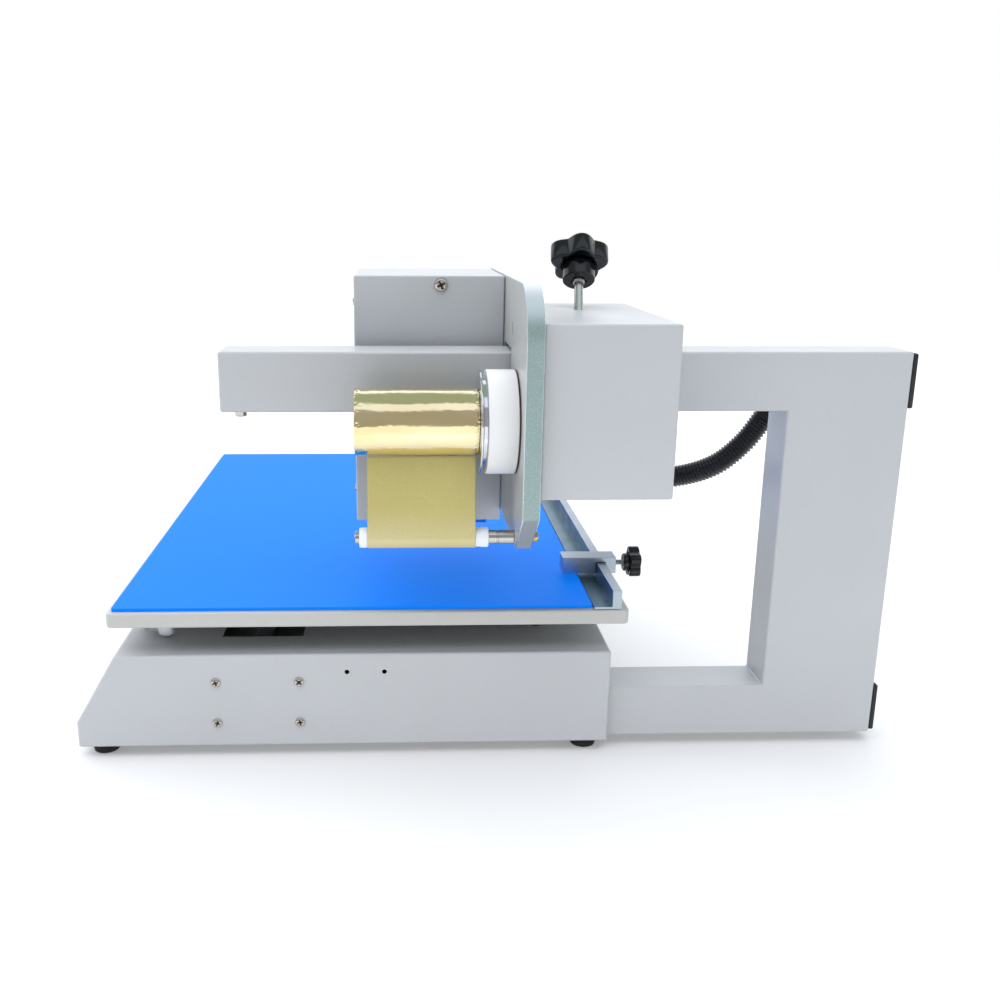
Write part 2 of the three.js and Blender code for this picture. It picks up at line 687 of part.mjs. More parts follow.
// ---------------------------------------------------------------- take-up

const takeupMotor = { right: 412, radius: 13 };
add('takeup_spool', turned('x', [
  [0, 243],
  [takeup.spindle, 243],
  [takeup.spindle, 246],
  [takeup.roll, 246],
  [takeup.roll, 329],
  [takeup.spindle, 329],
  [takeup.spindle, plate.right + 11],
  [0, plate.right + 11],
], takeup.y, takeup.z, 40), goldFoil);

add('takeup_motor', cut(
  rod('x', takeupMotor.radius, plate.right + gap, takeupMotor.right, takeup.y, takeup.z, 36),
  rod('x', takeup.spindle + 0.3, plate.right, plate.right + 13, takeup.y, takeup.z, 28),
), darkSteel);

// ---------------------------------------------------------------- pressure screw

add('lock_shoe', leaned(rod('z', 6, -27.3, -23.6, 0, 0, 28)), whitePlastic);

const knobStar = prism('z', starOutline(knob.radius), knob.headStart, knob.headEnd);
add('press_knob', leaned(join(
  rod('z', screwRadius, -23.3, knob.headStart + 5, 0, 0, 24),
  rod('z', 13.1, knob.hubStart, knob.headStart + 5, 0, 0, 36),
  knobStar,
)), blackPlastic);

// ---------------------------------------------------------------- cable conduit behind the beam

const frameGland = { x: 655, z: 318 };
const glandLength = 13;

function addGland(name, x, y, z) {
  const hexRadius = 14;
  add(name, join(
    rod('y', hexRadius, y, y + glandLength - 5, x, z, 6),
    rod('y', 12, y + 2, y + glandLength, x, z, 28),
  ), blackPlastic);
}

addGland('gland_frame', frameGland.x, tube.back + gap, frameGland.z);
addGland('gland_head', headGland.x, box.back + gap, headGland.z);

const conduitStart = box.back + 2 * gap + glandLength;
const conduitEnd = tube.back + 2 * gap + glandLength;
const conduitRoute = [
  [headGland.x, conduitStart, headGland.z],
  [headGland.x, conduitStart + 14, headGland.z],
  [449, 157, 329],
  [451.4, 187.4, 319.4],
  [451.3, 212.9, 299.7],
  [452.2, 229.4, 272.1],
  [460, 235.5, 241.8],
  [476.4, 231.7, 214.8],
  [500.1, 220.3, 197.2],
  [527.8, 205.4, 192.5],
  [555.7, 190.4, 198.8],
  [580.7, 176.7, 212.6],
  [602.5, 168.6, 235.2],
  [619.4, 163.3, 262.2],
  [632.7, 150.7, 288.7],
  [645.4, 128.4, 307.9],
  [653.4, 102, 317],
  [frameGland.x, conduitEnd + 16, frameGland.z],
  [frameGland.x, conduitEnd + 0.5, frameGland.z],
].map(([x, y, z]) => new THREE.Vector3(x, y, z));

const conduitSection = new THREE.Shape();
conduitSection.absarc(0, 0, conduitRadius, 0, 2 * Math.PI);
add('conduit', new THREE.ExtrudeGeometry(conduitSection, {
  steps: 44,
  curveSegments: 5,
  extrudePath: new THREE.CatmullRomCurve3(conduitRoute),
}), blackPlastic);

stamper.position.set(-(beam.right + plugHead) / 2, -(plate.front + bed.back) / 2, 0);

export default stamper;
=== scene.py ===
import math

import bmesh
import bpy
from mathutils import Matrix, Vector, noise


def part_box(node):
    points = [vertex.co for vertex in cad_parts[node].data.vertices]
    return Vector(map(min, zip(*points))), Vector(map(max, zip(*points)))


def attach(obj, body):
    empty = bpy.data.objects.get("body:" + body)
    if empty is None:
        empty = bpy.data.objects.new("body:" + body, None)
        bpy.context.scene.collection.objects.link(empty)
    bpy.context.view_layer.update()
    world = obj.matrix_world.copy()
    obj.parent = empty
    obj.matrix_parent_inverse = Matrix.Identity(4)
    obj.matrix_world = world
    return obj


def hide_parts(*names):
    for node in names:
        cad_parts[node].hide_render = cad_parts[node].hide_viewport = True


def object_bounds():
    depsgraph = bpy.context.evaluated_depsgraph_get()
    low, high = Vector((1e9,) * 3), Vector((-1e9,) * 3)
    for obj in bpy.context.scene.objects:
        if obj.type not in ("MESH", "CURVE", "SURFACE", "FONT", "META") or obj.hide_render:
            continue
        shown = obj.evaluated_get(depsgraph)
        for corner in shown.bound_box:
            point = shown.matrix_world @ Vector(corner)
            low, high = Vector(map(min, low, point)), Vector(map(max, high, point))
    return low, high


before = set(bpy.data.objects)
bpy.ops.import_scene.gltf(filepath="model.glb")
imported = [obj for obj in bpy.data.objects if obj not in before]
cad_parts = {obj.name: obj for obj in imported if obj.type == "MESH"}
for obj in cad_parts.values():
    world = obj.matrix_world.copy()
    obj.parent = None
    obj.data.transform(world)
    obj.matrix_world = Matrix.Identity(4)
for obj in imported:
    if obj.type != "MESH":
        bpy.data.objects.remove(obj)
cad_low, cad_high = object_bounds()

# A desktop hot foil stamper. Lengths are written in millimetres from the foot of the base's front left
# corner, on the table, as in the CAD source, and turned into the row frame in metres by spot().

MM = 0.001
FOOT_HEIGHT = 10
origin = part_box("base_shell")[0] - Vector((0, 0, FOOT_HEIGHT)) * MM
from_corner = Matrix.Translation(origin) @ Matrix.Scale(MM, 4)


def spot(x, y, z):
    return from_corner @ Vector((x, y, z))


def extent(node):
    """(x0, x1, y0, y1, z0, z1) of a CAD node, in millimetres from the base's corner."""
    low, high = [(corner - origin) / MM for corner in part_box(node)]
    return low.x, high.x, low.y, high.y, low.z, high.z


def round_of(node):
    """The (y, z) of the axis and the radius of a round node that lies along X."""
    _, _, y0, y1, z0, z1 = extent(node)
    return (y0 + y1) / 2, (z0 + z1) / 2, (y1 - y0) / 2


# ---- camera

CAMERA_SPOT = (268.6, -807.38, 440.1)
CAMERA_PITCH, CAMERA_YAW, CAMERA_ROLL = math.radians(14.94), math.radians(2.02), math.radians(0.24)
FOCAL_SHARE = 1.04557
CENTRE_SHARE = 0.43206


def make_camera():
    data = bpy.data.cameras.new("camera")
    camera = bpy.data.objects.new("camera", data)
    bpy.context.scene.collection.objects.link(camera)
    bpy.context.scene.camera = camera
    data.sensor_width = 36
    data.lens = data.sensor_width * FOCAL_SHARE
    data.shift_x = 0.5 - CENTRE_SHARE
    data.clip_start, data.clip_end = 0.05, 60
    turn = (Matrix.Rotation(-CAMERA_YAW, 4, "Z") @ Matrix.Rotation(math.pi / 2 - CAMERA_PITCH, 4, "X")
            @ Matrix.Rotation(CAMERA_ROLL, 4, "Z"))
    camera.matrix_world = Matrix.Translation(spot(*CAMERA_SPOT)) @ turn


make_camera()

# ---- materials


def paint(red, green, blue):
    """A colour given as 0 to 255 display values, in linear light."""
    def linear(value):
        share = value / 255
        return share / 12.92 if share <= 0.04045 else ((share + 0.055) / 1.055) ** 2.4
    return linear(red), linear(green), linear(blue), 1.0


def feed(tree, socket, value):
    """Joins a socket to another node's output, or sets its value."""
    if isinstance(value, bpy.types.NodeSocket):
        tree.links.new(value, socket)
    else:
        socket.default_value = value


def add_node(tree, kind, inputs, **settings):
    """A shader node with its inputs fed, by name or by place."""
    made = tree.nodes.new("ShaderNode" + kind)
    for key, value in settings.items():
        setattr(made, key, value)
    for key, value in inputs.items():
        feed(tree, made.inputs[key], value)
    return made


# Places of the colour sockets in a mix node, whose names repeat for each kind of data.
FACTOR, COLOUR_A, COLOUR_B, COLOUR_OUT = 0, 6, 7, 2


class Look:
    """One procedural material: a Principled shader and the textures that feed it."""

    def __init__(self, name, colour, roughness, metallic=0.0, **inputs):
        self.material = bpy.data.materials.new(name)
        self.material.use_nodes = True
        self.tree = self.material.node_tree
        self.shader = self.tree.nodes["Principled BSDF"]
        self.place = self.tree.nodes.new("ShaderNodeTexCoord").outputs["Object"]
        self.colour = colour
        self.put("Base Color", colour)
        self.put("Roughness", roughness)
        self.put("Metallic", metallic)
        for key, value in inputs.items():
            self.put(key.replace("_", " "), value)
        self.normal = None

    def put(self, name, value):
        feed(self.tree, self.shader.inputs[name], value)

    def node(self, kind, inputs, **settings):
        return add_node(self.tree, kind, inputs, **settings)

    def noise(self, scale, detail, stretch):
        place = self.node("Mapping", {"Vector": self.place, "Scale": stretch}).outputs["Vector"]
        return self.node("TexNoise", {"Vector": place, "Scale": scale, "Detail": detail}).outputs["Fac"]

    def height(self):
        return self.node("SeparateXYZ", {"Vector": self.place}).outputs["Z"]

    def span(self, value, low, high, out_low, out_high):
        return self.node("MapRange", {
            "Value": value, "From Min": low, "From Max": high, "To Min": out_low, "To Max": out_high,
        }).outputs["Result"]

    def tint(self, share, other):
        """Mixes another colour over the present base colour, by a 0 to 1 share."""
        mix = self.node("Mix", {FACTOR: share, COLOUR_A: self.colour, COLOUR_B: other},
                        data_type="RGBA")
        self.colour = mix.outputs[COLOUR_OUT]
        self.put("Base Color", self.colour)

    def patches(self, colour, share, low, high, scale, detail, stretch=(1, 1, 1)):
        """Mixes a colour in where a noise rises from low to high, up to a share."""
        self.tint(self.span(self.noise(scale, detail, stretch), low, high, 0, share), colour)

    def roughen(self, least, most, scale, detail, stretch=(1, 1, 1)):
        self.put("Roughness", self.span(self.noise(scale, detail, stretch), 0.3, 0.7, least, most))

    def bump(self, distance, strength, scale, detail, stretch=(1, 1, 1)):
        inputs = {"Height": self.noise(scale, detail, stretch), "Distance": distance, "Strength": strength}
        if self.normal is not None:
            inputs["Normal"] = self.normal
        self.normal = self.node("Bump", inputs).outputs["Normal"]
        self.put("Normal", self.normal)


def scaled(colour, share):
    return tuple(value * share for value in colour[:3]) + (1.0,)


def powder_coat(name, colour, roughness=0.36, texture=1.0):
    """Oven-baked powder paint: fine orange peel, faint clouding and a few specks of dust."""
    look = Look(name, colour, roughness, Specular_IOR_Level=0.55)
    look.patches(scaled(colour, 0.955), 0.55, 0.35, 0.7, 11, 2)
    look.patches(scaled(colour, 0.8), 0.22, 0.62, 0.72, 420, 1)
    look.patches(scaled(colour, 0.72), 0.3, 0.73, 0.78, 75, 4)
    look.roughen(roughness - 0.05, roughness + 0.07, 24, 3)
    look.bump(0.00010 * texture, 0.55, 620, 2)
    look.bump(0.00018 * texture, 0.25, 60, 2)
    return look.material


def metal(name, colour, roughness, grain=(1, 1, 1), scale=900, depth=0.00002, variation=0.06):
    """Bare metal with a machined grain, and patches handled dull."""
    look = Look(name, colour, roughness, 1.0)
    look.patches(scaled(colour, 0.78), 0.5, 0.3, 0.7, scale, 3, grain)
    look.patches(scaled(colour, 0.86), 0.4, 0.55, 0.8, 30, 4)
    look.roughen(roughness - variation, roughness + variation, 50, 4)
    look.bump(depth, 0.6, scale, 2, grain)
    return look.material


def plastic(name, colour, roughness, wear, scale=500, depth=0.00003):
    """Moulded plastic with rubbed lighter patches and fine scratches."""
    look = Look(name, colour, roughness, Specular_IOR_Level=0.5)
    look.patches(wear, 0.5, 0.55, 0.75, 40, 4)
    look.patches(wear, 0.25, 0.68, 0.75, 300, 2, (1, 12, 1))
    look.roughen(roughness - 0.06, roughness + 0.08, 70, 3)
    look.bump(depth, 0.5, scale, 2)
    return look.material


grey_coat = powder_coat("grey_coat", paint(181, 184, 187))
bed_coat = powder_coat("bed_coat", paint(183, 183, 180), 0.4, 0.8)
# A dark grey for the channel seen through the base's slot: painted shade that makes the slot look dark.
inner_coat_painted_shade = powder_coat("inner_coat_painted_shade", paint(96, 100, 98), 0.5)
steel = metal("steel", paint(205, 203, 198), 0.2, (1, 8, 8))
zinc = metal("zinc", paint(196, 200, 196), 0.28, (1, 1, 1), 300)
screw_steel = metal("screw_steel", paint(206, 200, 190), 0.14, (1, 1, 1), 300)
# The inside of a screw's cross: a dark brown that is painted shade.
recess_painted_shade = metal("screw_recess_painted_shade", paint(66, 54, 46), 0.45)
brass = metal("brass", paint(206, 180, 120), 0.25)
chrome = metal("chrome", paint(225, 226, 230), 0.08, (6, 1, 1), 500, 0.000008, 0.03)
rail_steel = metal("rail_steel", paint(132, 134, 136), 0.24, (8, 1, 8))
satin = metal("satin_aluminium", paint(188, 200, 200), 0.36, (30, 1, 30), 160, 0.00003)
fence_metal = metal("fence_metal", paint(178, 190, 200), 0.34, (14, 0.6, 14), 220, 0.00003)
# The fence's inner wall and channel: a darker blue that is painted shade and painted reflection.
fence_inner_painted_shade = metal("fence_inner_painted_shade", paint(112, 140, 156), 0.34, (14, 0.6, 14), 220, 0.00003)
black_gloss = plastic("black_gloss", paint(4, 8, 13), 0.17, paint(14, 20, 30), 700, 0.00001)
black_matt = plastic("black_matt", paint(24, 25, 28), 0.5, paint(52, 54, 58))
conduit_black = plastic("conduit_black", paint(10, 10, 13), 0.22, paint(26, 28, 35))
rubber = plastic("rubber", paint(26, 26, 27), 0.75, paint(58, 56, 54), 900, 0.00008)
drum_white = plastic("drum_white", paint(226, 227, 227), 0.36, paint(216, 214, 204))
nylon = plastic("nylon", paint(224, 228, 233), 0.42, paint(206, 208, 212))
fibre = plastic("fibre", paint(74, 46, 34), 0.6, paint(104, 72, 52))
board_green = plastic("board_green", paint(30, 92, 58), 0.35, paint(52, 120, 80))


def plate_material():
    """Sand-blasted anodised aluminium, grey with a green cast and a fine sparkle; painted highlight on top,
    painted blue-grey reflection at the bottom.
    """
    look = Look("plate_edge_painted_light", paint(144, 165, 162), 0.42, 0.5)
    look.patches(paint(184, 200, 202), 0.5, 0.5, 0.75, 1300, 1)
    look.patches(paint(140, 162, 160), 0.4, 0.5, 0.75, 18, 3)
    height = look.height()
    # Painted highlight: the edge is lightened almost to white near the top of the plate.
    look.tint(look.span(height, 0.37, 0.397, 0, 0.95), paint(222, 228, 238))
    # Painted reflection: the edge turns blue-grey along the bottom of the plate.
    look.tint(look.span(height, 0.234, 0.231, 0, 0.8), paint(150, 156, 166))
    look.bump(0.00003, 0.8, 1500, 1)
    return look.material


def glowing_pad_material():
    """Blue silicone rubber, cast against a fine cloth, with faint rubbed patches and a painted glow that
    lifts its shaded parts.
    """
    # Painted light: the pad glows blue, so its parts in shade under the head stay nearly as bright as the
    # rest.
    look = Look("silicone_blue_glowing", paint(5, 88, 174), 0.55, Specular_IOR_Level=0.1,
                Emission_Color=paint(0, 128, 255), Emission_Strength=0.6)
    look.patches(paint(5, 90, 178), 0.35, 0.45, 0.7, 7, 3)
    look.patches(paint(20, 106, 190), 0.3, 0.6, 0.8, 1100, 1)
    look.patches(paint(32, 112, 184), 0.25, 0.7, 0.8, 90, 5, (1, 6, 1))
    look.bump(0.00004, 0.5, 1000, 1)
    return look.material


def foil_material():
    """Bright gold foil on its polyester film, wound tight."""
    look = Look("gold_foil", paint(250, 236, 192), 0.1, 1.0)
    look.patches(paint(238, 212, 148), 0.7, 0.42, 0.68, 26, 3, (0.25, 1, 1))
    look.roughen(0.07, 0.17, 60, 3, (0.3, 1, 1))
    look.bump(0.00016, 0.4, 170, 3, (0.12, 1, 1))
    look.bump(0.0003, 0.25, 34, 2, (0.5, 1, 1))
    return look.material


def film_material():
    """The film's dull lacquered side: khaki gold with soft bands, and painted light that lightens it towards
    the bottom.
    """
    look = Look("foil_film", paint(184, 173, 109), 0.36, 0.2, Specular_IOR_Level=0.5)
    # Painted light: lightened below 0.232 m, so the web's upper part stays darker, a painted shade under the
    # roll.
    look.tint(look.span(look.height(), 0.232, 0.206, 0, 0.85), paint(202, 191, 149))
    look.patches(paint(192, 184, 118), 0.4, 0.4, 0.65, 38, 2, (1, 0.12, 0.12))
    look.patches(paint(222, 212, 150), 0.2, 0.55, 0.75, 700, 1)
    look.bump(0.0002, 0.3, 60, 2, (1, 0.15, 0.15))
    return look.material


def winding_material():
    """The end of a wound roll: hundreds of film edges."""
    look = Look("foil_windings", paint(214, 190, 120), 0.35, 0.8)
    look.patches(paint(164, 134, 70), 0.8, 0.4, 0.65, 900, 3)
    look.bump(0.00006, 0.6, 1400, 2)
    return look.material


plate_edge_painted_light = plate_material()
plate_face = powder_coat("plate_face", paint(174, 176, 175), 0.34)
# A near-white metal for the plate's bevels: painted highlight lines along its outline.
plate_bevel_painted_highlight = metal("plate_bevel_painted_highlight", paint(226, 232, 236), 0.3)
silicone = glowing_pad_material()
foil_gold = foil_material()
film = film_material()
windings = winding_material()
card = plastic("card", paint(176, 148, 112), 0.8, paint(198, 174, 140), 800, 0.00006)

# ---- mesh helpers


def finish_mesh(name, bm, material, sharp=36, more=()):
    """Turns a bmesh into a shaded object; more lists extra materials."""
    bmesh.ops.recalc_face_normals(bm, faces=bm.faces)
    limit = math.radians(sharp)
    for face in bm.faces:
        face.smooth = True
    for edge in bm.edges:
        edge.smooth = len(edge.link_faces) != 2 or edge.calc_face_angle(0.0) < limit
    mesh = bpy.data.meshes.new(name)
    bm.to_mesh(mesh)
    bm.free()
    for item in (material, *more):
        mesh.materials.append(item)
    obj = bpy.data.objects.new(name, mesh)
    bpy.context.scene.collection.objects.link(obj)
    return obj


def even_shading(obj):
    """Keeps large faces flat-shaded next to their rounded edges."""
    modifier = obj.modifiers.new("even_shading", "WEIGHTED_NORMAL")
    modifier.keep_sharp = True
    return obj


def set_up(obj, body, slot, *nodes):
    """Rides the piece on its body and lets it stand for the CAD nodes; the slot is not used."""
    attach(obj, body)
    if nodes:
        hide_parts(*nodes)
    return obj


def finish(name, bm, material, body, slot, *nodes, sharp=36, more=()):
    return set_up(finish_mesh(name, bm, material, sharp, more), body, slot, *nodes)


def around(sides):
    """The (angle, cosine, sine) of each point of a ring."""
    angles = [2 * math.pi * i / sides for i in range(sides)]
    return [(angle, math.cos(angle), math.sin(angle)) for angle in angles]


def add_points(bm, places, transform=from_corner):
    """New vertices at places in millimetres, from the base's corner or in another frame."""
    return [bm.verts.new(transform @ Vector(place)) for place in places]


def skin(bm, rings, capped=True, material=0):
    """Joins rings of points one to the next, and may close both ends; a ring can be a single point."""
    faces = []
    for first, second in zip(rings, rings[1:]):
        sides = max(len(first), len(second))
        for i in range(sides if sides > 1 else 0):
            places = (first, i), (first, i + 1), (second, i + 1), (second, i)
            faces.append(bm.faces.new(dict.fromkeys(ring[k % len(ring)] for ring, k in places)))
    if capped:
        faces += [bm.faces.new(rings[0]), bm.faces.new(reversed(rings[-1]))]
    for face in faces:
        face.material_index = material
    return faces


def bevel(bm, edges, width, segments):
    bmesh.ops.bevel(bm, geom=list(edges), offset=width * MM, offset_type="OFFSET", segments=segments,
                    profile=0.5, affect="EDGES", clamp_overlap=True)


def sharp_edges(bm, low=40, test=None):
    """The edges that turn by more than low degrees and pass the test on their ends."""
    found = []
    for edge in bm.edges:
        if len(edge.link_faces) == 2 and edge.calc_face_angle(0.0) > math.radians(low):
            ends = [(vertex.co - origin) / MM for vertex in edge.verts]
            if test is None or test(*ends):
                found.append(edge)
    return found


def axis_point(axis, along, a, b):
    """A point along X, Y or Z, with (a, b) the other two coordinates in order."""
    if axis == "x":
        return along, a, b
    if axis == "y":
        return a, along, b
    return a, b, along


def lathe(bm, axis, profile, a, b, segments=48, material=0, wave=None):
    """Spins (radius, position) pairs round an axis; a radius of 0 closes the profile."""
    rows = []
    for radius, along in profile:
        places = []
        for angle, c, s in around(segments if radius else 1):
            reach = radius + wave(angle, along) if wave and radius else radius
            places.append(axis_point(axis, along, a + reach * c, b + reach * s))
        rows.append(add_points(bm, places))
    skin(bm, rows, False, material)


def turned(name, body, slot, material, axis, centre, profiles, *nodes, segments=56, sharp=30, more=()):
    """One piece of turned parts; with more materials, each profile takes the next one."""
    bm = bmesh.new()
    for index, profile in enumerate(profiles):
        lathe(bm, axis, profile, *centre, segments, index if more else 0)
    finish(name, bm, material, body, slot, *nodes, sharp=sharp, more=more)


def extrude(bm, axis, outline, start, end):
    """A closed prism on an outline of (a, b) pairs."""
    skin(bm, [add_points(bm, [axis_point(axis, along, a, b) for a, b in outline]) for along in (start, end)])


def block(bm, x0, x1, y0, y1, z0, z1):
    extrude(bm, "z", [(x0, y0), (x1, y0), (x1, y1), (x0, y1)], z0, z1)


def rounded_block(bm, x0, x1, y0, y1, z0, z1, radius, segments):
    before = set(bm.edges)
    block(bm, x0, x1, y0, y1, z0, z1)
    bevel(bm, set(bm.edges) - before, radius, segments)


def carve(obj, name, limits):
    """Cuts a box (x0, x1, y0, y1, z0, z1) out of a piece."""
    bm = bmesh.new()
    block(bm, *limits)
    cutter = finish_mesh(name, bm, obj.data.materials[0])
    modifier = obj.modifiers.new("carve", "BOOLEAN")
    modifier.operation = "DIFFERENCE"
    modifier.solver = "EXACT"
    modifier.object = cutter
    bpy.context.view_layer.update()
    graph = bpy.context.evaluated_depsgraph_get()
    carved = bpy.data.meshes.new_from_object(obj.evaluated_get(graph))
    obj.modifiers.clear()
    obj.data = carved
    bpy.data.objects.remove(cutter)


def place_on(at, normal, turn):
    """A frame at a point, with +Z along the normal."""
    direction = Vector(normal).normalized()
    side = Vector((1, 0, 0)) if abs(direction.x) < 0.9 else Vector((0, 1, 0))
    side = (side - direction * side.dot(direction)).normalized()
    axes = Matrix((side, direction.cross(side), direction)).transposed().to_4x4()
    return from_corner @ Matrix.Translation(at) @ axes @ Matrix.Rotation(turn, 4, "Z")


def add_screw(bm, at, normal, radius, height, turn):
    """A domed Phillips screw head: rings of points, pressed in along a cross, with painted shade on the
    faces down in the cross.
    """
    matrix = place_on(at, normal, turn)
    rings, sides = 12, 28
    cross_half, cross_reach, cross_depth = 0.17 * radius, 0.6 * radius, 0.6 * height
    rows = []
    recess = set()
    for ring in range(rings + 1):
        share = ring / rings
        row = []
        for _, c, s in around(sides if ring else 1):
            r = radius * math.sin(share * math.pi / 2)
            x, y = r * c, r * s
            z = height * math.cos(share * math.pi / 2) ** 0.75
            arm = min(abs(x), abs(y))
            if arm < cross_half * 1.5 and r < cross_reach:
                sink = min(1, (cross_half * 1.5 - arm) / (cross_half * 0.7))
                z -= cross_depth * sink * (1 - 0.3 * r / cross_reach)
            row.append(bm.verts.new(matrix @ Vector((x, y, z))))
            if arm < cross_half * 1.2 and r < cross_reach:
                recess.add(row[-1])
        rows.append(row)
    skirt = add_points(bm, [(radius * c, radius * s, -0.4) for _, c, s in around(sides)], matrix)
    rows.append(skirt)
    for face in skin(bm, rows, False):
        # Painted shade: the faces inside the cross take the dark second material.
        face.material_index = int(recess.issuperset(face.verts))
    bm.faces.new(reversed(skirt))


def screws(name, body, places):
    """Several screw heads, each (point, outward direction, radius, height, turn)."""
    bm = bmesh.new()
    for at, normal, radius, height, turn in places:
        add_screw(bm, at, normal, radius, height, turn)
    finish(name, bm, screw_steel, body, "steel", sharp=50, more=(recess_painted_shade,))


# ---- cable conduit, a free cord between two glands

CONDUIT_ROUTE = [
    (0.448, 0.1242, 0.330), (0.448, 0.1382, 0.330), (0.449, 0.157, 0.329), (0.4514, 0.1874, 0.3194),
    (0.4513, 0.2129, 0.2997), (0.4522, 0.2294, 0.2721), (0.460, 0.2355, 0.2418),
    (0.4764, 0.2317, 0.2148), (0.5001, 0.2203, 0.1972), (0.5278, 0.2054, 0.1925),
    (0.5557, 0.1904, 0.1988), (0.5807, 0.1767, 0.2126), (0.6025, 0.1686, 0.2352),
    (0.6194, 0.1633, 0.2622), (0.6327, 0.1507, 0.2887), (0.6454, 0.1284, 0.3079),
    (0.6534, 0.102, 0.317), (0.655, 0.0827, 0.318), (0.655, 0.0672, 0.318),
]
CONDUIT_RADIUS = 10.6
CONDUIT_PITCH = 3.4


def between(first, second, start, end, t):
    return first * ((end - t) / (end - start)) + second * ((t - start) / (end - start))


def smooth_line(points, steps):
    """A centripetal Catmull-Rom curve through the points."""
    ends = [points[0] * 2 - points[1], *points, points[-1] * 2 - points[-2]]
    line = []
    for p0, p1, p2, p3 in zip(ends, ends[1:], ends[2:], ends[3:]):
        t0 = 0
        t1 = (p1 - p0).length ** 0.5
        t2 = t1 + (p2 - p1).length ** 0.5
        t3 = t2 + (p3 - p2).length ** 0.5
        for step in range(steps):
            t = t1 + (t2 - t1) * step / steps
            a1 = between(p0, p1, t0, t1, t)
            a2 = between(p1, p2, t1, t2, t)
            a3 = between(p2, p3, t2, t3, t)
            b1 = between(a1, a2, t0, t2, t)
            b2 = between(a2, a3, t1, t3, t)
            line.append(between(b1, b2, t1, t2, t))
    line.append(points[-1].copy())
    return line


def even_line(line, count):
    """The same line with count + 1 evenly spaced points, and its length."""
    reach = [0.0]
    for first, second in zip(line, line[1:]):
        reach.append(reach[-1] + (second - first).length)
    spaced, k = [], 0
    for i in range(count + 1):
        goal = reach[-1] * i / count
        while k < len(line) - 2 and reach[k + 1] < goal:
            k += 1
        share = (goal - reach[k]) / max(reach[k + 1] - reach[k], 1e-12)
        spaced.append(line[k].lerp(line[k + 1], min(1, share)))
    return spaced, reach[-1]


def make_conduit():
    line = smooth_line([origin + Vector(p) for p in CONDUIT_ROUTE], 24)
    length = even_line(line, 10)[1]
    rings = round(length / MM / CONDUIT_PITCH)
    per_ring = 7
    spine, length = even_line(line, rings * per_ring)
    rib = (0.0, 0.0, -0.35, -1.15, -1.35, -1.15, -0.35)
    bm = bmesh.new()
    rows = []
    side = Vector((1, 0, 0))
    for i, point in enumerate(spine):
        ahead = spine[min(i + 1, len(spine) - 1)] - spine[max(i - 1, 0)]
        ahead.normalize()
        side = (side - ahead * side.dot(ahead)).normalized()
        across = ahead.cross(side)
        radius = (CONDUIT_RADIUS + rib[i % per_ring]) * MM
        rows.append([bm.verts.new(point + (side * c + across * s) * radius) for _, c, s in around(28)])
    skin(bm, rows)
    piece = finish_mesh("cable_conduit", bm, conduit_black, 50)
    set_up(piece, "frame", "black_plastic", "conduit")
    path, length = even_line(line, 60)
    return piece, path, length


def make_gland(name, node, body):
    """A cable gland: lock nut, hexagon body, ribbed dome nut and the seal that grips the conduit."""
    x0, x1, y0, y1, z0, z1 = extent(node)
    x, z = (x0 + x1) / 2, (z0 + z1) / 2
    bm = bmesh.new()
    hexagon = [(x + 13.8 * c, z + 13.8 * s) for _, c, s in around(6)]
    extrude(bm, "y", hexagon, y0 + 0.1, y0 + 5.4)
    bevel(bm, bm.edges, 0.7, 2)
    ribs = lambda angle, along: 0.35 * max(0.0, math.cos(20 * angle))
    lathe(bm, "y", [(0, y0 + 5), (11.6, y0 + 5), (11.6, y0 + 6), (11.9, y0 + 6.4), (11.9, y1 - 2.4)],
          x, z, 80, wave=ribs)
    lathe(bm, "y", [(12.1, y1 - 2.5), (11.6, y1 - 0.6), (11.0, y1 - 0.1), (10.0, y1 - 0.1), (0, y1 - 0.1)],
          x, z, 80)
    finish(name, bm, black_matt, body, "black_plastic", node)


conduit, conduit_path, conduit_length = make_conduit()
make_gland("conduit_gland_frame", "gland_frame", "frame")
make_gland("conduit_gland_head", "gland_head", "head")

# ---- base


def long_edges(minimum):
    return lambda a, b: (a - b).length > minimum


def coated_copy(name, node, body, slot, material, passes):
    """A CAD node with its edges rounded, by passes of (width, segments, test, least angle)."""
    bm = bmesh.new()
    bm.from_mesh(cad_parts[node].data)
    bmesh.ops.remove_doubles(bm, verts=bm.verts, dist=2e-6)
    bmesh.ops.dissolve_limit(bm, angle_limit=math.radians(0.6), verts=bm.verts, edges=bm.edges)
    for width, segments, test, low in passes:
        bevel(bm, sharp_edges(bm, low, test), width, segments)
    return even_shading(finish(name, bm, material, body, slot, node))


base = extent("base_shell")


def on_outside(box):
    """A test for edges that lie along the outside of a box, longer than a hole's facets."""
    def test(a, b):
        if (a - b).length < 12:
            return False
        middle = (a + b) / 2
        return sum(abs(middle[k // 2] - box[k]) < 0.5 for k in range(6)) >= 2
    return test


def base_outside(a, b):
    slope_top = abs(a.x - b.x) < 0.1 and abs(a.x - 35) < 0.5 and abs(a.z - base[5]) < 0.1
    at_side = min(a.y, b.y) < 0.1 or max(a.y, b.y) > base[3] - 0.1
    slope_side = at_side and abs(a.y - b.y) < 0.1 and abs(a.z - b.z) > 40
    return on_outside(base)(a, b) or slope_top or slope_side


coated_copy("base_cover", "base_shell", "frame", "grey_coat", grey_coat, [
    (2.4, 4, base_outside, 20),
    (0.35, 2, long_edges(3), 50),
])
coated_copy("base_floor", "base_bottom_plate", "frame", "grey_coat", grey_coat, [
    (0.4, 2, long_edges(5), 50),
])


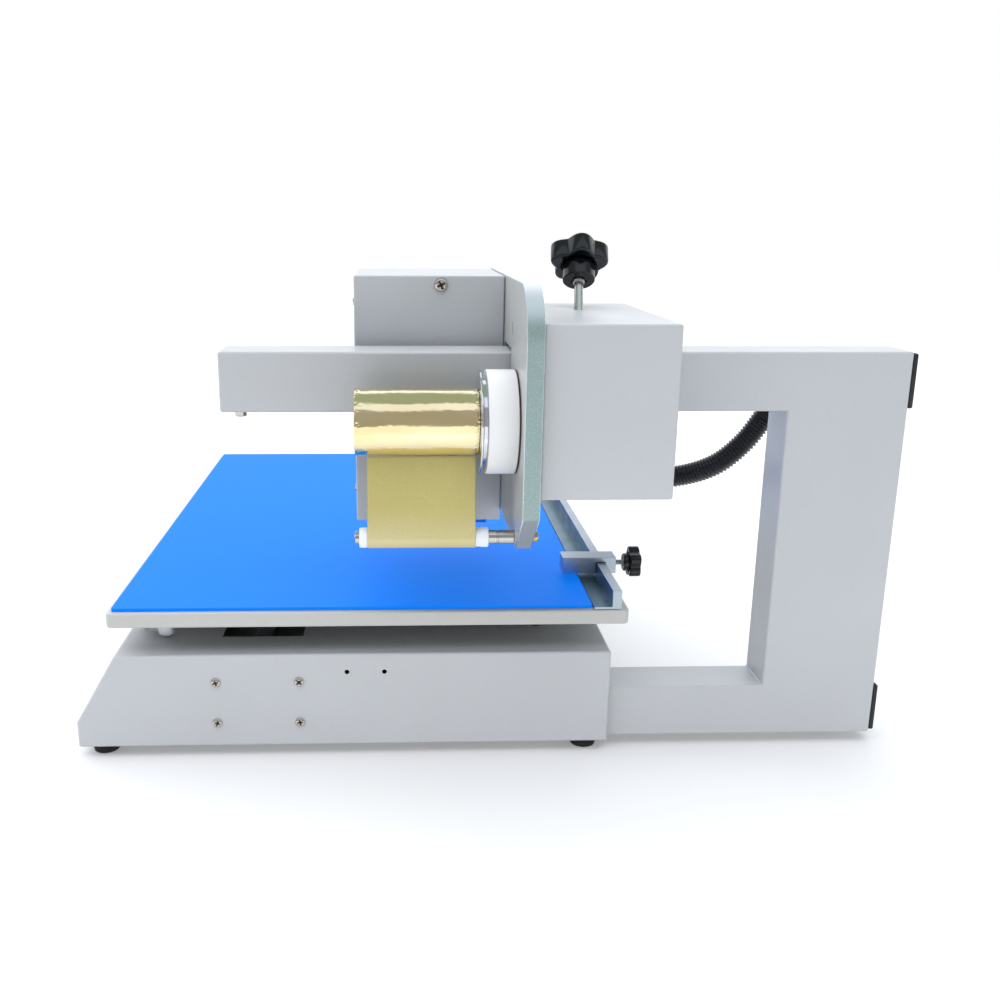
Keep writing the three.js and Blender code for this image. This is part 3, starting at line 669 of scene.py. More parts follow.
def make_foot(node):
    """A rubber bumper foot: a stepped, ribbed cone with a recess for its screw underneath."""
    x0, x1, y0, y1, _, top = extent(node)
    r = (x1 - x0) / 2
    turned(node + "_rubber", "frame", "rubber", rubber, "z", ((x0 + x1) / 2, (y0 + y1) / 2), [[
        (0, 2.2), (2.6, 2.2), (4.4, 2.0), (5.0, 0.0), (r - 2.2, 0.0), (r - 1.1, 0.5), (r - 0.8, 1.6),
        (r - 0.5, 4.6), (r - 0.9, 4.9), (r - 0.9, 5.5), (r - 0.4, 5.8), (r - 0.1, top - 0.7),
        (r - 0.7, top), (0, top),
    ]], node, segments=48, sharp=36)


for foot in ("foot_front_left", "foot_front_right", "foot_rear_left", "foot_rear_right"):
    make_foot(foot)

BASE_SCREWS = [(117.3, 68), (186.6, 68), (117.3, 31.3), (186.6, 31.3)]
for side, y, facing, turn, step in (("front", 0.1, -1, 0.3, 0.5), ("back", base[3] - 0.1, 1, 0.9, 0.4)):
    screws(side + "_screws", "frame", [
        ((x, y, z), (0, facing, 0), 4.2, 2.6, turn + step * i) for i, (x, z) in enumerate(BASE_SCREWS)
    ])


def make_hole_rims():
    """Bare metal left round the two small front holes where the paint has chipped."""
    bm = bmesh.new()
    for x in (226.7, 257.9):
        chip = lambda angle, along: 0.35 * noise.noise(Vector((3 * math.cos(angle), 3 * math.sin(angle), x)))
        lathe(bm, "y", [(2.1, 2.2), (2.05, -0.04), (2.6, -0.09), (2.95, -0.05), (3.0, 0.05)],
              x, 76.4, 40, wave=chip)
    finish("front_hole_rims", bm, zinc, "frame", "grey_coat")


make_hole_rims()

# ---- cantilever frame, welded and painted as one

beam = extent("beam_tube")
post = extent("post_tube")
arm = extent("lower_arm_tube")
TUBE_WALL = 3
BEAM_SLOT = (150, 600, 299, 336)


def make_cantilever():
    y0, y1 = beam[2], beam[3]
    outline = [(beam[0], beam[5]), (beam[0], beam[4]), (post[0], beam[4]), (post[0], arm[5]),
               (arm[0], arm[5]), (arm[0], arm[4]), (arm[1], arm[4]), (beam[1], beam[5])]
    bm = bmesh.new()
    extrude(bm, "y", outline, y0, y1)
    bmesh.ops.recalc_face_normals(bm, faces=bm.faces)
    bevel(bm, sharp_edges(bm, 40), 2.2, 4)
    piece = finish_mesh("cantilever_frame", bm, grey_coat)
    wall = TUBE_WALL
    inner = (beam[0] + wall, beam[1] - 2, y0 + wall, y1 - wall, beam[4] + wall, beam[5] - wall)
    left, right, bottom, top = BEAM_SLOT
    carve(piece, "beam_cavity", inner)
    carve(piece, "beam_slot", (left, right, y1 - 5, y1 + 5, bottom, top))
    even_shading(piece)
    return set_up(piece, "frame", "grey_coat", "beam_tube", "post_tube", "lower_arm_tube")


make_cantilever()


def make_weld(name, points, radius):
    """A ground and painted weld bead: a lumpy fillet along a line."""
    bm = bmesh.new()
    steps = 26
    rows = []
    a, b = [Vector(point) for point in points]
    ahead = (b - a).normalized()
    side = ahead.orthogonal().normalized()
    across = ahead.cross(side)
    for i in range(steps + 1):
        share = i / steps
        centre = a.lerp(b, share)
        lump = 1 + 0.35 * noise.noise(centre * 0.12) + 0.15 * math.sin(i * 1.9)
        r = radius * lump * math.sqrt(max(0.02, 1 - (2 * share - 1) ** 8))
        rows.append(add_points(bm, [centre + (side * c + across * s) * r for _, c, s in around(14)]))
    skin(bm, rows)
    finish(name, bm, grey_coat, "frame", "grey_coat", sharp=60)


WELDS = {
    "weld_arm_top": ((base[1] + 0.2, arm[2] + 1, arm[5]), (base[1] + 0.2, arm[3] - 1, arm[5])),
    "weld_arm_front": ((base[1] + 0.2, arm[2], arm[4] + 3), (base[1] + 0.2, arm[2], arm[5] - 1)),
    "weld_post_foot": ((post[0], post[2] + 2, arm[5] - 0.2), (post[0], post[3] - 2, arm[5] - 0.2)),
    "weld_post_head": ((post[0], post[2] + 2, beam[4] + 0.2), (post[0], post[3] - 2, beam[4] + 0.2)),
}
for weld, line in WELDS.items():
    make_weld(weld, line, 1.9)


def make_plug(node):
    """A push-in tube plug: a pillowed head with a shallow lip, and ribs inside the tube."""
    x0, x1, y0, y1, z0, z1 = extent(node)
    face = beam[1] + 0.3
    bm = bmesh.new()
    rounded_block(bm, face, x1, y0 + 0.2, y1 - 0.2, z0 + 0.2, z1 - 0.2, 1.6, 4)
    for k in range(3):
        rounded_block(bm, x0 + 3 * k, x0 + 3 * k + 1.2, y0 + 3.4, y1 - 3.4, z0 + 3.4, z1 - 3.4, 0.3, 1)
    rounded_block(bm, x0, face + 0.5, y0 + 5, y1 - 5, z0 + 5, z1 - 5, 0.5, 1)
    finish(node + "_cap", bm, black_matt, "frame", "black_plastic", node)


make_plug("end_plug_upper")
make_plug("end_plug_lower")

# The travel stop under the beam's free end: a cap screw with a socket, on a thin washer.
under = beam[4]
turned("beam_stop_screw", "frame", "steel", screw_steel, "z", (143.5, 31), [[
    (0, under + 0.2), (5.4, under + 0.2), (5.4, under - 0.7), (4.9, under - 0.8), (4.9, under - 5.6),
    (4.4, under - 6.2), (2.4, under - 6.2), (2.2, under - 4), (0, under - 4),
]], segments=36, sharp=36)

# ---- bed, pad and fence

coated_copy("bed_table", "bed_plate", "bed", "warm_coat", bed_coat, [(1.6, 3, None, 60)])
work_pad = coated_copy("work_pad", "silicone_pad", "bed", "blue_silicone", silicone, [(0.3, 2, None, 60)])
fence_angle = coated_copy("fence_angle", "fence_rail", "bed", "aluminium", fence_metal, [
    (0.35, 2, long_edges(2), 50),
])
fence_angle.data.materials.append(fence_inner_painted_shade)
fence_top = extent("fence_rail")[5]
# Painted shade and reflection: the inner wall and the channel floor take the darker second material.
for face in fence_angle.data.polygons:
    height = (face.center.z - origin.z) / MM
    inside = face.normal.x < -0.9 or (face.normal.z > 0.9 and height < fence_top - 3)
    face.material_index = int(inside)

stop = extent("stop_block")
coated_copy("sliding_stop", "stop_block", "stop", "aluminium", fence_metal, [(0.5, 3, long_edges(1.5), 50)])
coated_copy("stop_pad_tip", "stop_pad", "stop_pad", "white_plastic", nylon, [(0.3, 2, None, 60)])

# ---- star knobs

STAR_HOLLOW = 0.78
STAR_SIDES = 160


def star_reach(angle, radius):
    """The reach of a five-lobed grip: round lobes with wide hollows between."""
    lobe = (1 + math.cos(5 * angle)) / 2
    return radius * (STAR_HOLLOW + (1 - STAR_HOLLOW) * lobe ** 0.8)


def add_star(bm, radius, start, end, edge, hub, hub_start, transform):
    """A star grip along +Z: lobes, a crowned top, and a hub in a pocket."""
    def ring(scale, drop, z):
        places = []
        for angle, c, s in around(STAR_SIDES):
            reach = (star_reach(angle, radius) - drop) * scale
            places.append((reach * s, reach * c, z))
        return add_points(bm, places, transform)

    def circle(r, z):
        return add_points(bm, [(r * s, r * c, z) for _, c, s in around(STAR_SIDES)], transform)

    pocket = hub + 0.16 * (radius - hub)
    pocket_end = start + 0.28 * (end - start)
    rows = [circle(r, z) for r, z in (
        (0.01, hub_start + 1.2), (hub * 0.45, hub_start + 1.2), (hub * 0.5, hub_start),
        (hub - 0.8, hub_start), (hub, hub_start + 0.8), (hub, pocket_end), (pocket, pocket_end),
        (pocket + 0.1, start + 0.4),
    )]
    rows += [ring(1, edge * 2.2, start), ring(1, edge, start), ring(1, edge * 0.35, start + edge * 0.3),
             ring(1, 0, start + edge), ring(1, 0, (start + end) / 2), ring(1, 0, end - edge * 1.6)]
    for k in range(1, 5):
        turn = k / 4 * math.pi / 2
        rows.append(ring(1, edge * 1.6 * (1 - math.cos(turn)), end - edge * 1.6 * (1 - math.sin(turn))))
    crown = 0.06 * radius
    rows += [ring(0.7, edge * 1.6, end + crown * 0.6), ring(0.3, edge, end + crown),
             circle(0.01, end + crown)]
    skin(bm, rows)


def threaded(bm, transform, radius, start, end, pitch, sides, depth):
    """A thread as a true helix on a rod along the transform's Z, in millimetres."""
    steps = max(2, int((end - start) / pitch * 8))
    rows = []
    for k in range(steps + 1):
        z = start + (end - start) * k / steps
        places = []
        for angle, c, s in around(sides):
            phase = (z / pitch - angle / (2 * math.pi)) % 1
            r = radius - depth * abs(2 * phase - 1)
            places.append((r * c, r * s, z))
        rows.append(add_points(bm, places, transform))
    skin(bm, rows)


def make_grip(name, body, transform, *shape):
    bm = bmesh.new()
    add_star(bm, *shape, transform)
    finish(name, bm, black_gloss, body, "black_plastic", body, sharp=40)


def make_rod(name, body, slot, material, transform, profile, *nodes):
    """Spins (radius, z) pairs round the transform's Z; the ends are closed."""
    bm = bmesh.new()
    skin(bm, [add_points(bm, [(r * c, r * s, z) for _, c, s in around(40)], transform) for r, z in profile])
    finish(name, bm, material, body, slot, *nodes)


# The pressure screw leans back, and a little to the right, from the top of the drive box.
KNOB_LEAN, KNOB_TILT = math.radians(36), math.radians(4.4)
knob_axis = (from_corner @ Matrix.Translation((416.1, 40.6, extent("drive_box")[5]))
             @ Matrix.Rotation(KNOB_TILT, 4, "Y") @ Matrix.Rotation(-KNOB_LEAN, 4, "X"))
make_grip("pressure_knob_grip", "press_knob", knob_axis @ Matrix.Rotation(0.57, 4, "Z"),
          24.2, 41, 57.6, 1.5, 13.1, 26.8)
make_rod("pressure_knob_screw", "press_knob", "steel", zinc, knob_axis,
         [(3.0, -23.3), (3.7, -22.7), (3.7, 24.4), (4.7, 24.6), (5.0, 25.1), (5.0, 27.9)])
make_rod("pressure_shoe", "lock_shoe", "white_plastic", nylon, knob_axis,
         [(4.6, -27.3), (5.6, -26.9), (6.0, -26.3), (6.0, -24.4), (5.4, -23.7)], "lock_shoe")

stop_axis = (from_corner @ Matrix.Translation((0, (stop[2] + stop[3]) / 2, 144.2))
             @ Matrix.Rotation(math.pi / 2, 4, "Y"))
make_grip("stop_knob_grip", "stop_knob", stop_axis @ Matrix.Rotation(0.1, 4, "Z"),
          14.2, 476.5, 486.2, 0.9, 8.0, 471.8)
bm = bmesh.new()
threaded(bm, stop_axis, 2.45, 457.8, 473, 0.8, 20, 0.28)
finish("stop_knob_screw", bm, zinc, "stop_knob", "steel")

# ---- head: side plate, drive box and cover

plate = extent("side_plate")
box = extent("drive_box")
cover = extent("head_cover")


def plate_rim(a, b):
    """The plate's outer outline on both faces, short arc facets included."""
    same_face = abs(a.x - b.x) < 0.05
    low_y, high_y = min(a.y, b.y), max(a.y, b.y)
    low_z, high_z = min(a.z, b.z), max(a.z, b.z)
    passage = low_y > 2 and high_y < 60 and low_z > 285 and high_z < 350
    bores = any(math.hypot((a.y + b.y) / 2 - y, (a.z + b.z) / 2 - z) < 9 for y, z in
                ((-33.8, 294.3), (150, 300), (-42.1, 206.3)))
    mark = abs((a.y + b.y) / 2) < 2.5 and 354 < (a.z + b.z) / 2 < 368
    return same_face and not (passage or bores or mark)


carriage_plate = coated_copy("carriage_plate", "side_plate", "head", "aluminium", plate_face, [
    (0.9, 3, plate_rim, 60),
])
for metal_look in (plate_edge_painted_light, plate_bevel_painted_highlight):
    carriage_plate.data.materials.append(metal_look)
# Faces across the plate take the coat, the edge takes the teal metal with painted light, and the bevels
# between take the near-white metal that paints highlight lines.
for face in carriage_plate.data.polygons:
    across = abs(face.normal.x)
    face.material_index = 0 if across > 0.95 else 1 if across < 0.3 else 2
coated_copy("drive_housing", "drive_box", "head", "grey_coat", grey_coat, [
    (2.4, 4, on_outside(box), 50),
    (0.3, 2, long_edges(6), 60),
])
coated_copy("takeup_cover", "head_cover", "head", "grey_coat", grey_coat, [
    (1.5, 3, on_outside(cover), 50),
    (0.3, 2, long_edges(6), 60),
])

screws("cover_front_screw", "head", [((305.8, cover[2] + 0.1, 389.7), (0, -1, 0), 5.8, 3.4, 0.5)])
screws("cover_screws", "head", [
    ((cover[0] + 0.1, y, z), (-1, 0, 0), 3.6, 2.0, 0.2 + y) for y in (80, 165) for z in (215, 375)
] + [((305.8, cover[3] - 0.1, 389.7), (0, 1, 0), 4.2, 2.4, 0.8)])
screws("housing_screws", "head", [
    ((x, box[3] - 0.1, z), (0, 1, 0), 3.2, 1.8, 0.3 * z + x)
    for x in (386, 455) for z in (258, 360)
])

# ---- foil supply: roll, flange and brake drum

roll = extent("foil_roll")
flange = extent("spool_flange")
drum = extent("brake_drum")
axis_y, axis_z, roll_radius = round_of("foil_roll")
CORE, BORE = 13, 8.2


def make_roll():
    """Foil wound a little loosely, with long soft folds and crushed ends."""
    left, right = roll[0], roll[1]
    length = right - left
    bm = bmesh.new()
    columns, sides = 132, 300
    rows = []
    for i in range(columns + 1):
        x = left + length * i / columns
        near_end = min(x - left, right - x)
        crush = math.exp(-((near_end / 3.2) ** 2))
        places = []
        for _, c, s in around(sides):
            ring = Vector((c, s))
            soft = noise.noise(Vector((x * 0.018, ring.x * 2.3, ring.y * 2.3)))
            fold = noise.noise(Vector((x * 0.05 + 7, ring.x * 6, ring.y * 6)))
            fine = noise.noise(Vector((x * 0.35, ring.x * 14 + 3, ring.y * 14)))
            ragged = noise.noise(Vector((x * 0.6 + 20, ring.x * 20, ring.y * 20)))
            ridge = 1 - abs(noise.noise(Vector((x * 0.12 + 3, ring.x * 5, ring.y * 5 + 9)))) * 2
            r = roll_radius - 0.42 + 0.26 * soft + 0.1 * fold + 0.012 * fine + 0.05 * max(0, ridge) ** 6
            r += crush * (0.34 * ragged - 0.12) - 0.5 * math.exp(-((near_end / 0.5) ** 2))
            places.append((x, axis_y + r * ring.x, axis_z + r * ring.y))
        rows.append(add_points(bm, places))
    skin(bm, rows, False)
    film_end = roll_radius - 1.0
    for row, x, inward in ((rows[0], left, 1), (rows[-1], right, -1)):
        ends = [(film_end + (CORE - film_end) * k / 12, 0.5 + 0.18 * math.sin(k * 2.4) + 0.03 * k, 1)
                for k in range(1, 13)]
        ends += [(CORE, 0.2, 2), (CORE - 0.4, 0, 2), (BORE + 0.4, 0, 2), (BORE, 0.5, 2), (BORE, 40, 2)]
        for radius, depth, material in ends:
            ring = add_points(bm, [(x + inward * depth, axis_y + radius * c, axis_z + radius * s)
                               for _, c, s in around(sides)])
            skin(bm, [row, ring], False, material)
            row = ring
    finish("foil_supply_roll", bm, foil_gold, "supply_spool", "gold_foil", "foil_roll",
           sharp=60, more=(windings, card))


make_roll()

supply_axis = (axis_y, axis_z)
f0, f1 = flange[:2]
r = (flange[3] - flange[2]) / 2
turned("supply_flange", "supply_spool", "steel", chrome, "x", supply_axis, [[
    (6.4, f0), (r - 0.5, f0), (r - 0.1, f0 + 0.3), (r, f0 + 0.75), (r - 0.1, f1 - 0.3), (r - 0.5, f1),
    (6.4, f1), (6.4, f0),
]], "spool_flange", segments=128)

r = (drum[3] - drum[2]) / 2
d0, d1 = 335.2, drum[1]
washer = d1 - 0.9
turned("brake_drum_shell", "supply_spool", "white_plastic", drum_white, "x", supply_axis, [[
    (r - 4.5, d0 + 0.15), (r - 1, d0 + 0.15), (r - 0.3, d0 + 0.4), (r, d0 + 1), (r, washer - 0.9),
    (r - 0.25, washer - 0.25), (r - 0.8, washer), (7, washer),
], [(7, washer), (7, d0 + 0.15), (r - 4.5, d0 + 0.15)]], "brake_drum", segments=128)
turned("drum_hub_ring", "supply_spool", "steel", chrome, "x", supply_axis, [[
    (7, f1 + 0.3), (r - 6.6, f1 + 0.3), (r - 6, f1 + 0.9), (r - 6, d0 + 0.1), (7, d0 + 0.1), (7, f1 + 0.3),
]], segments=96)
turned("friction_washer", "supply_spool", "dark_steel", fibre, "x", supply_axis, [[
    (7, washer + 0.05), (r - 0.6, washer + 0.05), (r - 0.2, washer + 0.3), (r - 0.2, d1 - 0.3),
    (r - 0.6, d1), (7, d1), (7, washer + 0.05),
]], segments=96)

s0, s1 = extent("supply_spindle")[:2]
turned("supply_shaft", "supply_spool", "steel", steel, "x", supply_axis, [[
    (0, s0), (4.6, s0), (5.7, s0 + 1.1), (5.9, s0 + 3), (5.9, s0 + 4), (5.2, s0 + 4.1), (5.2, s0 + 5.3),
    (5.9, s0 + 5.4), (5.9, 371.4), (9.3, 371.5), (9.5, 371.9), (9.5, s1 - 0.6), (9, s1), (0, s1),
]], "supply_spindle")

# ---- guide roller and its shaft

guide_y, guide_z, guide_radius = round_of("guide_roller")
r = guide_radius
g0, g1 = extent("guide_roller")[:2]
turned("guide_roller_tube", "guide_roller", "nylon", nylon, "x", (guide_y, guide_z), [[
    (4.75, g0), (r - 0.7, g0), (r - 0.15, g0 + 0.4), (r, g0 + 1.1), (r, g0 + 5.6), (r - 0.3, g0 + 5.9),
    (r - 0.3, g1 - 5.9), (r, g1 - 5.6), (r, g1 - 1.1), (r - 0.15, g1 - 0.4), (r - 0.7, g1), (4.75, g1),
    (4.75, g0),
]], "guide_roller", segments=64)

s0, s1 = extent("guide_shaft")[:2]
nut = plate[0] - 0.35
turned("guide_shaft_turned", "head", "steel", steel, "x", (guide_y, guide_z), [[
    (0, s0), (3.6, s0), (4.9, s0 + 0.7), (5.2, s0 + 1.3), (5.2, s0 + 1.7), (4.2, s0 + 1.75), (4.2, s0 + 2.6),
    (5.2, s0 + 2.65), (5.2, g0 - 0.25), (4.4, g0 - 0.2), (4.4, g1 + 0.2), (5.2, g1 + 0.25), (5.3, g1 + 0.8),
    (5.3, g1 + 6.2), (4.9, g1 + 6.5), (4.9, g1 + 7.6), (5.3, g1 + 7.9), (5.3, nut),
], [(5.3, nut), (4, nut + 0.05), (4, s1 - 0.7), (3.4, s1), (0, s1)]], "guide_shaft", more=(brass,))

# ---- foil web

takeup = extent("takeup_spool")
head_tip = extent("print_head")
web = extent("foil_web")
takeup_y, takeup_z, takeup_radius = round_of("takeup_spool")
CLEAR = 0.4
ROLL_LEAVE_Y = -41


def web_line():
    """The web from the side: off the roll, round the guide, under the print head, up to the take-up."""
    reach = roll_radius + CLEAR
    points = [(ROLL_LEAVE_Y, axis_z - math.sqrt(reach ** 2 - (axis_y - ROLL_LEAVE_Y) ** 2))]
    reach = guide_radius + CLEAR
    for i in range(15):
        angle = math.pi * (1 + 0.5 * i / 14)
        points.append((guide_y + reach * math.cos(angle), guide_z + reach * math.sin(angle)))
    tip_y, tip_z = (head_tip[2] + head_tip[3]) / 2 + 3, head_tip[4] - CLEAR
    points += [(tip_y - 4, tip_z), (tip_y + 4, tip_z)]
    reach = takeup_radius + CLEAR
    rise = math.atan2(takeup_z - tip_z, takeup_y - tip_y - 4)
    distance = math.hypot(takeup_z - tip_z, takeup_y - tip_y - 4)
    touch = rise - math.asin(reach / distance) - math.pi / 2
    points.append((takeup_y + reach * math.cos(touch), takeup_z + reach * math.sin(touch)))
    return points


def make_web():
    line, length = even_line([Vector((0, y, z)) for y, z in web_line()], 190)
    left, right = web[0], web[1]
    columns = 64
    bm = bmesh.new()
    rows = []
    for i, point in enumerate(line):
        ahead = line[min(i + 1, len(line) - 1)] - line[max(i - 1, 0)]
        out = Vector((0, ahead.z, -ahead.y)).normalized()
        hang = min(1, i / 12) * min(1, (len(line) - 1 - i) / 12)
        touching = (point - Vector((0, guide_y, guide_z))).length < guide_radius + 1.2
        free = hang * (0.1 if touching else 1)
        places = []
        for k in range(columns + 1):
            x = left + (right - left) * k / columns
            ripple = 0.22 * noise.noise(Vector((x * 0.09, i * 0.035, 4)))
            ripple += 0.07 * noise.noise(Vector((x * 0.3, i * 0.02, 11)))
            places.append((x, *(point + out * (ripple * free)).yz))
        rows.append(add_points(bm, places))
    for first, second in zip(rows, rows[1:]):
        for k in range(columns):
            bm.faces.new([first[k], first[k + 1], second[k + 1], second[k]])
    piece = finish_mesh("foil_web_film", bm, film, 70)
    film_body = piece.modifiers.new("film", "SOLIDIFY")
    film_body.thickness = 0.1 * MM
    film_body.offset = 0
    set_up(piece, "head", "gold_foil", "foil_web")
    return piece, length


foil_film, web_length = make_web()


def make_takeup():
    """Used film wound a little unevenly on its core."""
    bm = bmesh.new()

    def uneven(angle, along):
        return 0.14 * noise.noise(Vector((along * 0.1, math.cos(angle) * 3, math.sin(angle) * 3)))

    profile = [(takeup_radius - 0.3, 246 + 83 * k / 40) for k in range(41)]
    lathe(bm, "x", [(6, 246), (14, 246.2), *profile, (14, 328.8), (6, 329)], takeup_y, takeup_z, 96,
          wave=uneven)
    t0, t1 = takeup[:2]
    lathe(bm, "x", [(0, t0), (5.2, t0), (5.9, t0 + 0.7), (5.9, t1 - 0.6), (5.3, t1), (0, t1)],
          takeup_y, takeup_z, 40, 1)
    finish("takeup_roll", bm, film, "takeup_spool", "gold_foil", "takeup_spool", sharp=40, more=(steel,))


make_takeup()

# ---- print head and lift


def rounded_copy(name, node, body, slot, material, width=0.5, least=2.0):
    coated_copy(name, node, body, slot, material, [(width, 2, long_edges(least), 50)])


rounded_copy("print_head_block", "print_head", "press_unit", "aluminium", satin)
rounded_copy("press_carriage", "press_frame", "press_unit", "aluminium", satin)
rounded_copy("lift_stepper", "lift_motor", "head", "dark_steel", black_matt, 1.0)
rounded_copy("press_guide", "press_rail", "head", "steel", rail_steel, 0.4)
rounded_copy("carriage_block", "x_slide_block", "head", "dark_steel", zinc, 0.5)

lift = extent("lift_screw")
bm = bmesh.new()
lift_axis = from_corner @ Matrix.Translation(((lift[0] + lift[1]) / 2, (lift[2] + lift[3]) / 2, 0))
threaded(bm, lift_axis, 2.95, lift[4] + 0.1, lift[5] - 0.1, 2.0, 24, 0.5)
finish("lift_leadscrew", bm, steel, "lift_screw", "steel", "lift_screw", sharp=50)

motor_y, motor_z, r = round_of("takeup_motor")
m0, m1 = extent("takeup_motor")[:2]
turned("takeup_gearmotor", "head", "dark_steel", zinc, "x", (motor_y, motor_z), [[
    (6.4, m0), (r - 0.4, m0), (r, m0 + 0.5), (r, m0 + 11), (r - 0.5, m0 + 11.3), (r - 0.5, m0 + 12.2),
    (r, m0 + 12.5), (r, m1 - 1.6), (r - 1.6, m1), (4, m1), (3.6, m1 - 0.8), (0, m1 - 0.8),
], [(6.4, m0), (6.4, m0 + 12), (0, m0 + 12)]], "takeup_motor")

# ---- support roller, slides, belts and drives

wheel_y, wheel_z, r = round_of("support_roller")
w0, w1 = extent("support_roller")[:2]
turned("bed_support_wheel", "support_roller", "nylon", nylon, "x", (wheel_y, wheel_z), [[
    (3.1, w0), (r - 3.2, w0), (r - 1.6, w0 + 0.8), (r - 0.7, w0 + 2.2), (r - 0.15, w0 + 4.4),
    (r, (w0 + w1) / 2), (r - 0.15, w1 - 4.4), (r - 0.7, w1 - 2.2), (r - 1.6, w1 - 0.8), (r - 3.2, w1),
    (3.1, w1), (3.1, w0),
]], "support_roller", sharp=50)
rounded_copy("bed_wheel_bracket", "roller_bracket", "frame", "dark_steel", zinc, 0.5)
for side in ("left", "right"):
    rounded_copy("bed_truck_" + side, "bed_slide_" + side, "bed", "dark_steel", zinc, 0.6)
    rounded_copy("slide_rail_" + side, "y_rail_" + side, "frame", "steel", rail_steel, 0.8)
rounded_copy("cross_rail", "x_rail", "frame", "steel", rail_steel, 0.7)
# The channel inside the base takes the dark coat, a painted shade in the slot.
rounded_copy("rail_channel", "rail_beam", "frame", "dark_steel", inner_coat_painted_shade, 0.6, 8)
rounded_copy("bed_stepper", "y_motor", "frame", "dark_steel", black_matt, 1.4)
rounded_copy("head_stepper", "x_motor", "frame", "dark_steel", black_matt, 1.2)
rounded_copy("supply_unit", "power_supply", "frame", "aluminium", satin, 0.8)
rounded_copy("controller", "control_board", "frame", "green_board", board_green, 0.3, 1.5)
rounded_copy("inlet_module", "power_inlet", "frame", "black_plastic", black_matt, 0.5)
rounded_copy("mains_rocker", "power_switch", "power_switch", "black_plastic", black_gloss, 0.6, 1.0)


def make_belt(name, node, axis):
    """A toothed belt: the CAD loop's own line with teeth on its inside."""
    x0, x1, y0, y1, z0, z1 = extent(node)
    if axis == "x":
        low, high, start, end, cross, outer = x0, x1, y0, y1, (z0 + z1) / 2, (z1 - z0) / 2
    else:
        low, high, start, end, cross, outer = z0, z1, x0, x1, (y0 + y1) / 2, (y1 - y0) / 2
    first, last = start + outer, end - outer
    straight = last - first
    half = straight + math.pi * (outer - 0.7)
    count = int(2 * half / 2.0) * 4
    bm = bmesh.new()
    rows = []
    for i in range(count):
        s = 2 * half * i / count
        inner = outer - (1.25 if i % 4 < 2 else 0.75)
        back = s >= half
        s -= half * back
        turn = max(0, s - straight) / (half - straight) * math.pi
        out = Vector((math.sin(turn), math.cos(turn))) * (-1 if back else 1)
        run = min(s, straight)
        centre = last - run if back else first + run
        corners = ((outer - 0.02, low), (outer - 0.02, high), (inner, high), (inner, low))
        rows.append(add_points(bm, [axis_point(axis, along, centre + out.x * reach, cross + out.y * reach)
                                for reach, along in corners]))
    skin(bm, [*rows, rows[0]], False)
    finish(name, bm, rubber, "frame", "rubber", node, sharp=40)


make_belt("bed_belt", "y_belt", "x")
make_belt("head_belt", "x_belt", "z")


def make_pulley(name, node, body, axis, belt, shaft=None):
    """A toothed pulley as wide as its belt, with a shaft where the CAD node has one."""
    x0, x1, y0, y1, z0, z1 = extent(node)
    a, b = ((y0 + y1) / 2, (z0 + z1) / 2) if axis == "x" else ((x0 + x1) / 2, (y0 + y1) / 2)
    low, high = belt
    bm = bmesh.new()
    teeth = lambda angle, along: -0.35 * (0.5 + 0.5 * math.cos(20 * angle))
    lathe(bm, axis, [(2.7, low), (7.3, low), (7.3, high), (2.7, high), (2.7, low)], a, b, 120, wave=teeth)
    if shaft:
        start, end = shaft
        rod = [(0, start), (2.1, start), (2.45, start + 0.4), (2.45, end - 0.4), (2.1, end), (0, end)]
        lathe(bm, axis, rod, a, b, 32)
    finish(name, bm, satin, body, "aluminium", node, sharp=40)


y_belt, x_belt = extent("y_belt")[:2], extent("x_belt")[4:]
make_pulley("bed_belt_idler", "y_idler_pulley", "y_idler", "x", y_belt)
make_pulley("bed_belt_pulley", "y_drive_pulley", "y_drive", "x", y_belt, (y_belt[0] + 0.1, 219.5))
make_pulley("head_belt_idler", "x_idler_pulley", "x_idler", "z", x_belt)
make_pulley("head_belt_pulley", "x_drive_pulley", "x_drive", "z", x_belt, (313.5, x_belt[1]))

# ---- floor, light and the white room

FLOOR_HALF = 9.0


def make_stage():
    bm = bmesh.new()
    far = FLOOR_HALF
    bm.faces.new([bm.verts.new((x, y, 0)) for x, y in ((-far, -far), (far, -far), (far, far), (-far, far))])
    look = Look("floor_white", paint(206, 206, 207), 0.7, Specular_IOR_Level=0.1,
                Emission_Color=(1, 1, 1, 1), Emission_Strength=0.2)
    look.patches(paint(204, 205, 206), 0.4, 0.4, 0.7, 3, 2)
    finish_mesh("floor", bm, look.material)


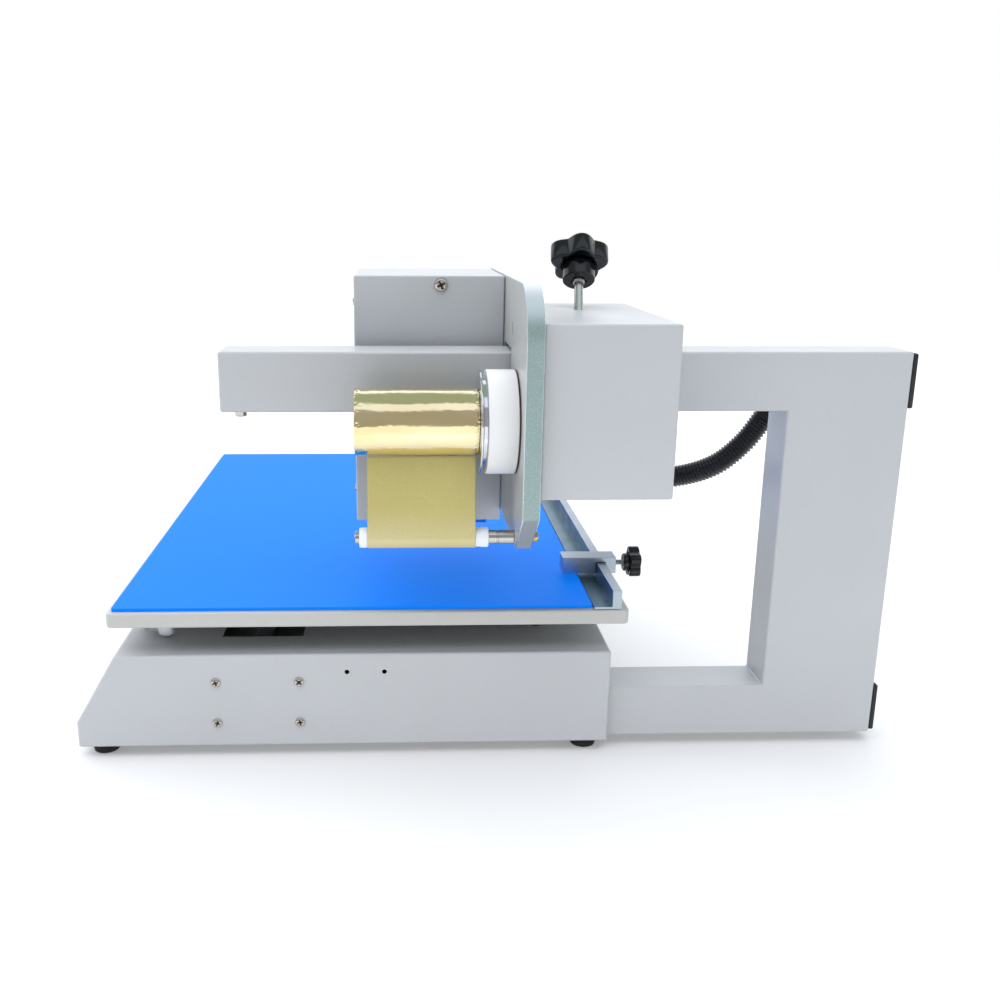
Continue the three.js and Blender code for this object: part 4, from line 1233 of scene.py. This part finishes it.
def make_light(name, kind, energy, place, turn, **settings):
    """A lamp that lights the part but isn't mirrored in it."""
    data = bpy.data.lights.new(name, kind)
    data.energy = energy
    for key, value in settings.items():
        setattr(data, key, value)
    lamp = bpy.data.objects.new(name, data)
    bpy.context.scene.collection.objects.link(lamp)
    lamp.location = place
    lamp.rotation_euler = [math.radians(angle) for angle in turn]
    lamp.visible_glossy = False


make_stage()
# A wide diffuser overhead, and a long strip near the floor in front, which lifts the base and the lower arm.
make_light("diffuser", "SUN", 3.3, (0, 0, 0), (-6, -14, 0), color=(0.97, 0.97, 1.0), angle=math.radians(100))
make_light("low_fill", "AREA", 0.95, (0.04, cad_low.y - 0.36, 0.05), (90, 0, 0),
           shape="RECTANGLE", size=1.4, size_y=0.08)


def make_world():
    """Soft boxes over a white room, in bands by the angle up from the front horizon."""
    world = bpy.data.worlds.new("room")
    bpy.context.scene.world = world
    world.use_nodes = True
    tree = world.node_tree
    tree.nodes.clear()

    def node(kind, *inputs, **settings):
        return add_node(tree, kind, dict(enumerate(inputs)), **settings)

    ray = node("SeparateXYZ", node("TexCoord").outputs["Generated"]).outputs
    forward = node("Math", ray["Y"], -1, operation="MULTIPLY").outputs[0]
    angle = node("Math", ray["Z"], forward, operation="ARCTAN2").outputs[0]
    bands = node("ValToRGB", node("Math", angle, math.pi, operation="DIVIDE").outputs[0])
    low, ceiling, back = (0.25, 0.25, 0.25, 1), (0.22, 0.27, 0.22, 1), (0.74, 0.74, 0.76, 1)
    box_light = (0.62, 0.65, 0.74, 1)
    rear_light = scaled(box_light, 1.2)
    ramp = bands.color_ramp.elements
    ramp[0].color, ramp[1].color = low, back
    for degrees, colour in ((46, low), (50, box_light), (73, box_light), (79, ceiling), (121, ceiling),
                            (128, rear_light), (148, rear_light), (151, back)):
        ramp.new(degrees / 180).color = colour
    sky = node("Background", bands.outputs[0], 1.58).outputs[0]
    white = node("Background", (1, 1, 1, 1)).outputs[0]
    node("OutputWorld", node("MixShader", node("LightPath").outputs["Is Camera Ray"], sky, white).outputs[0])


make_world()
bpy.context.scene.view_settings.view_transform = "Standard"
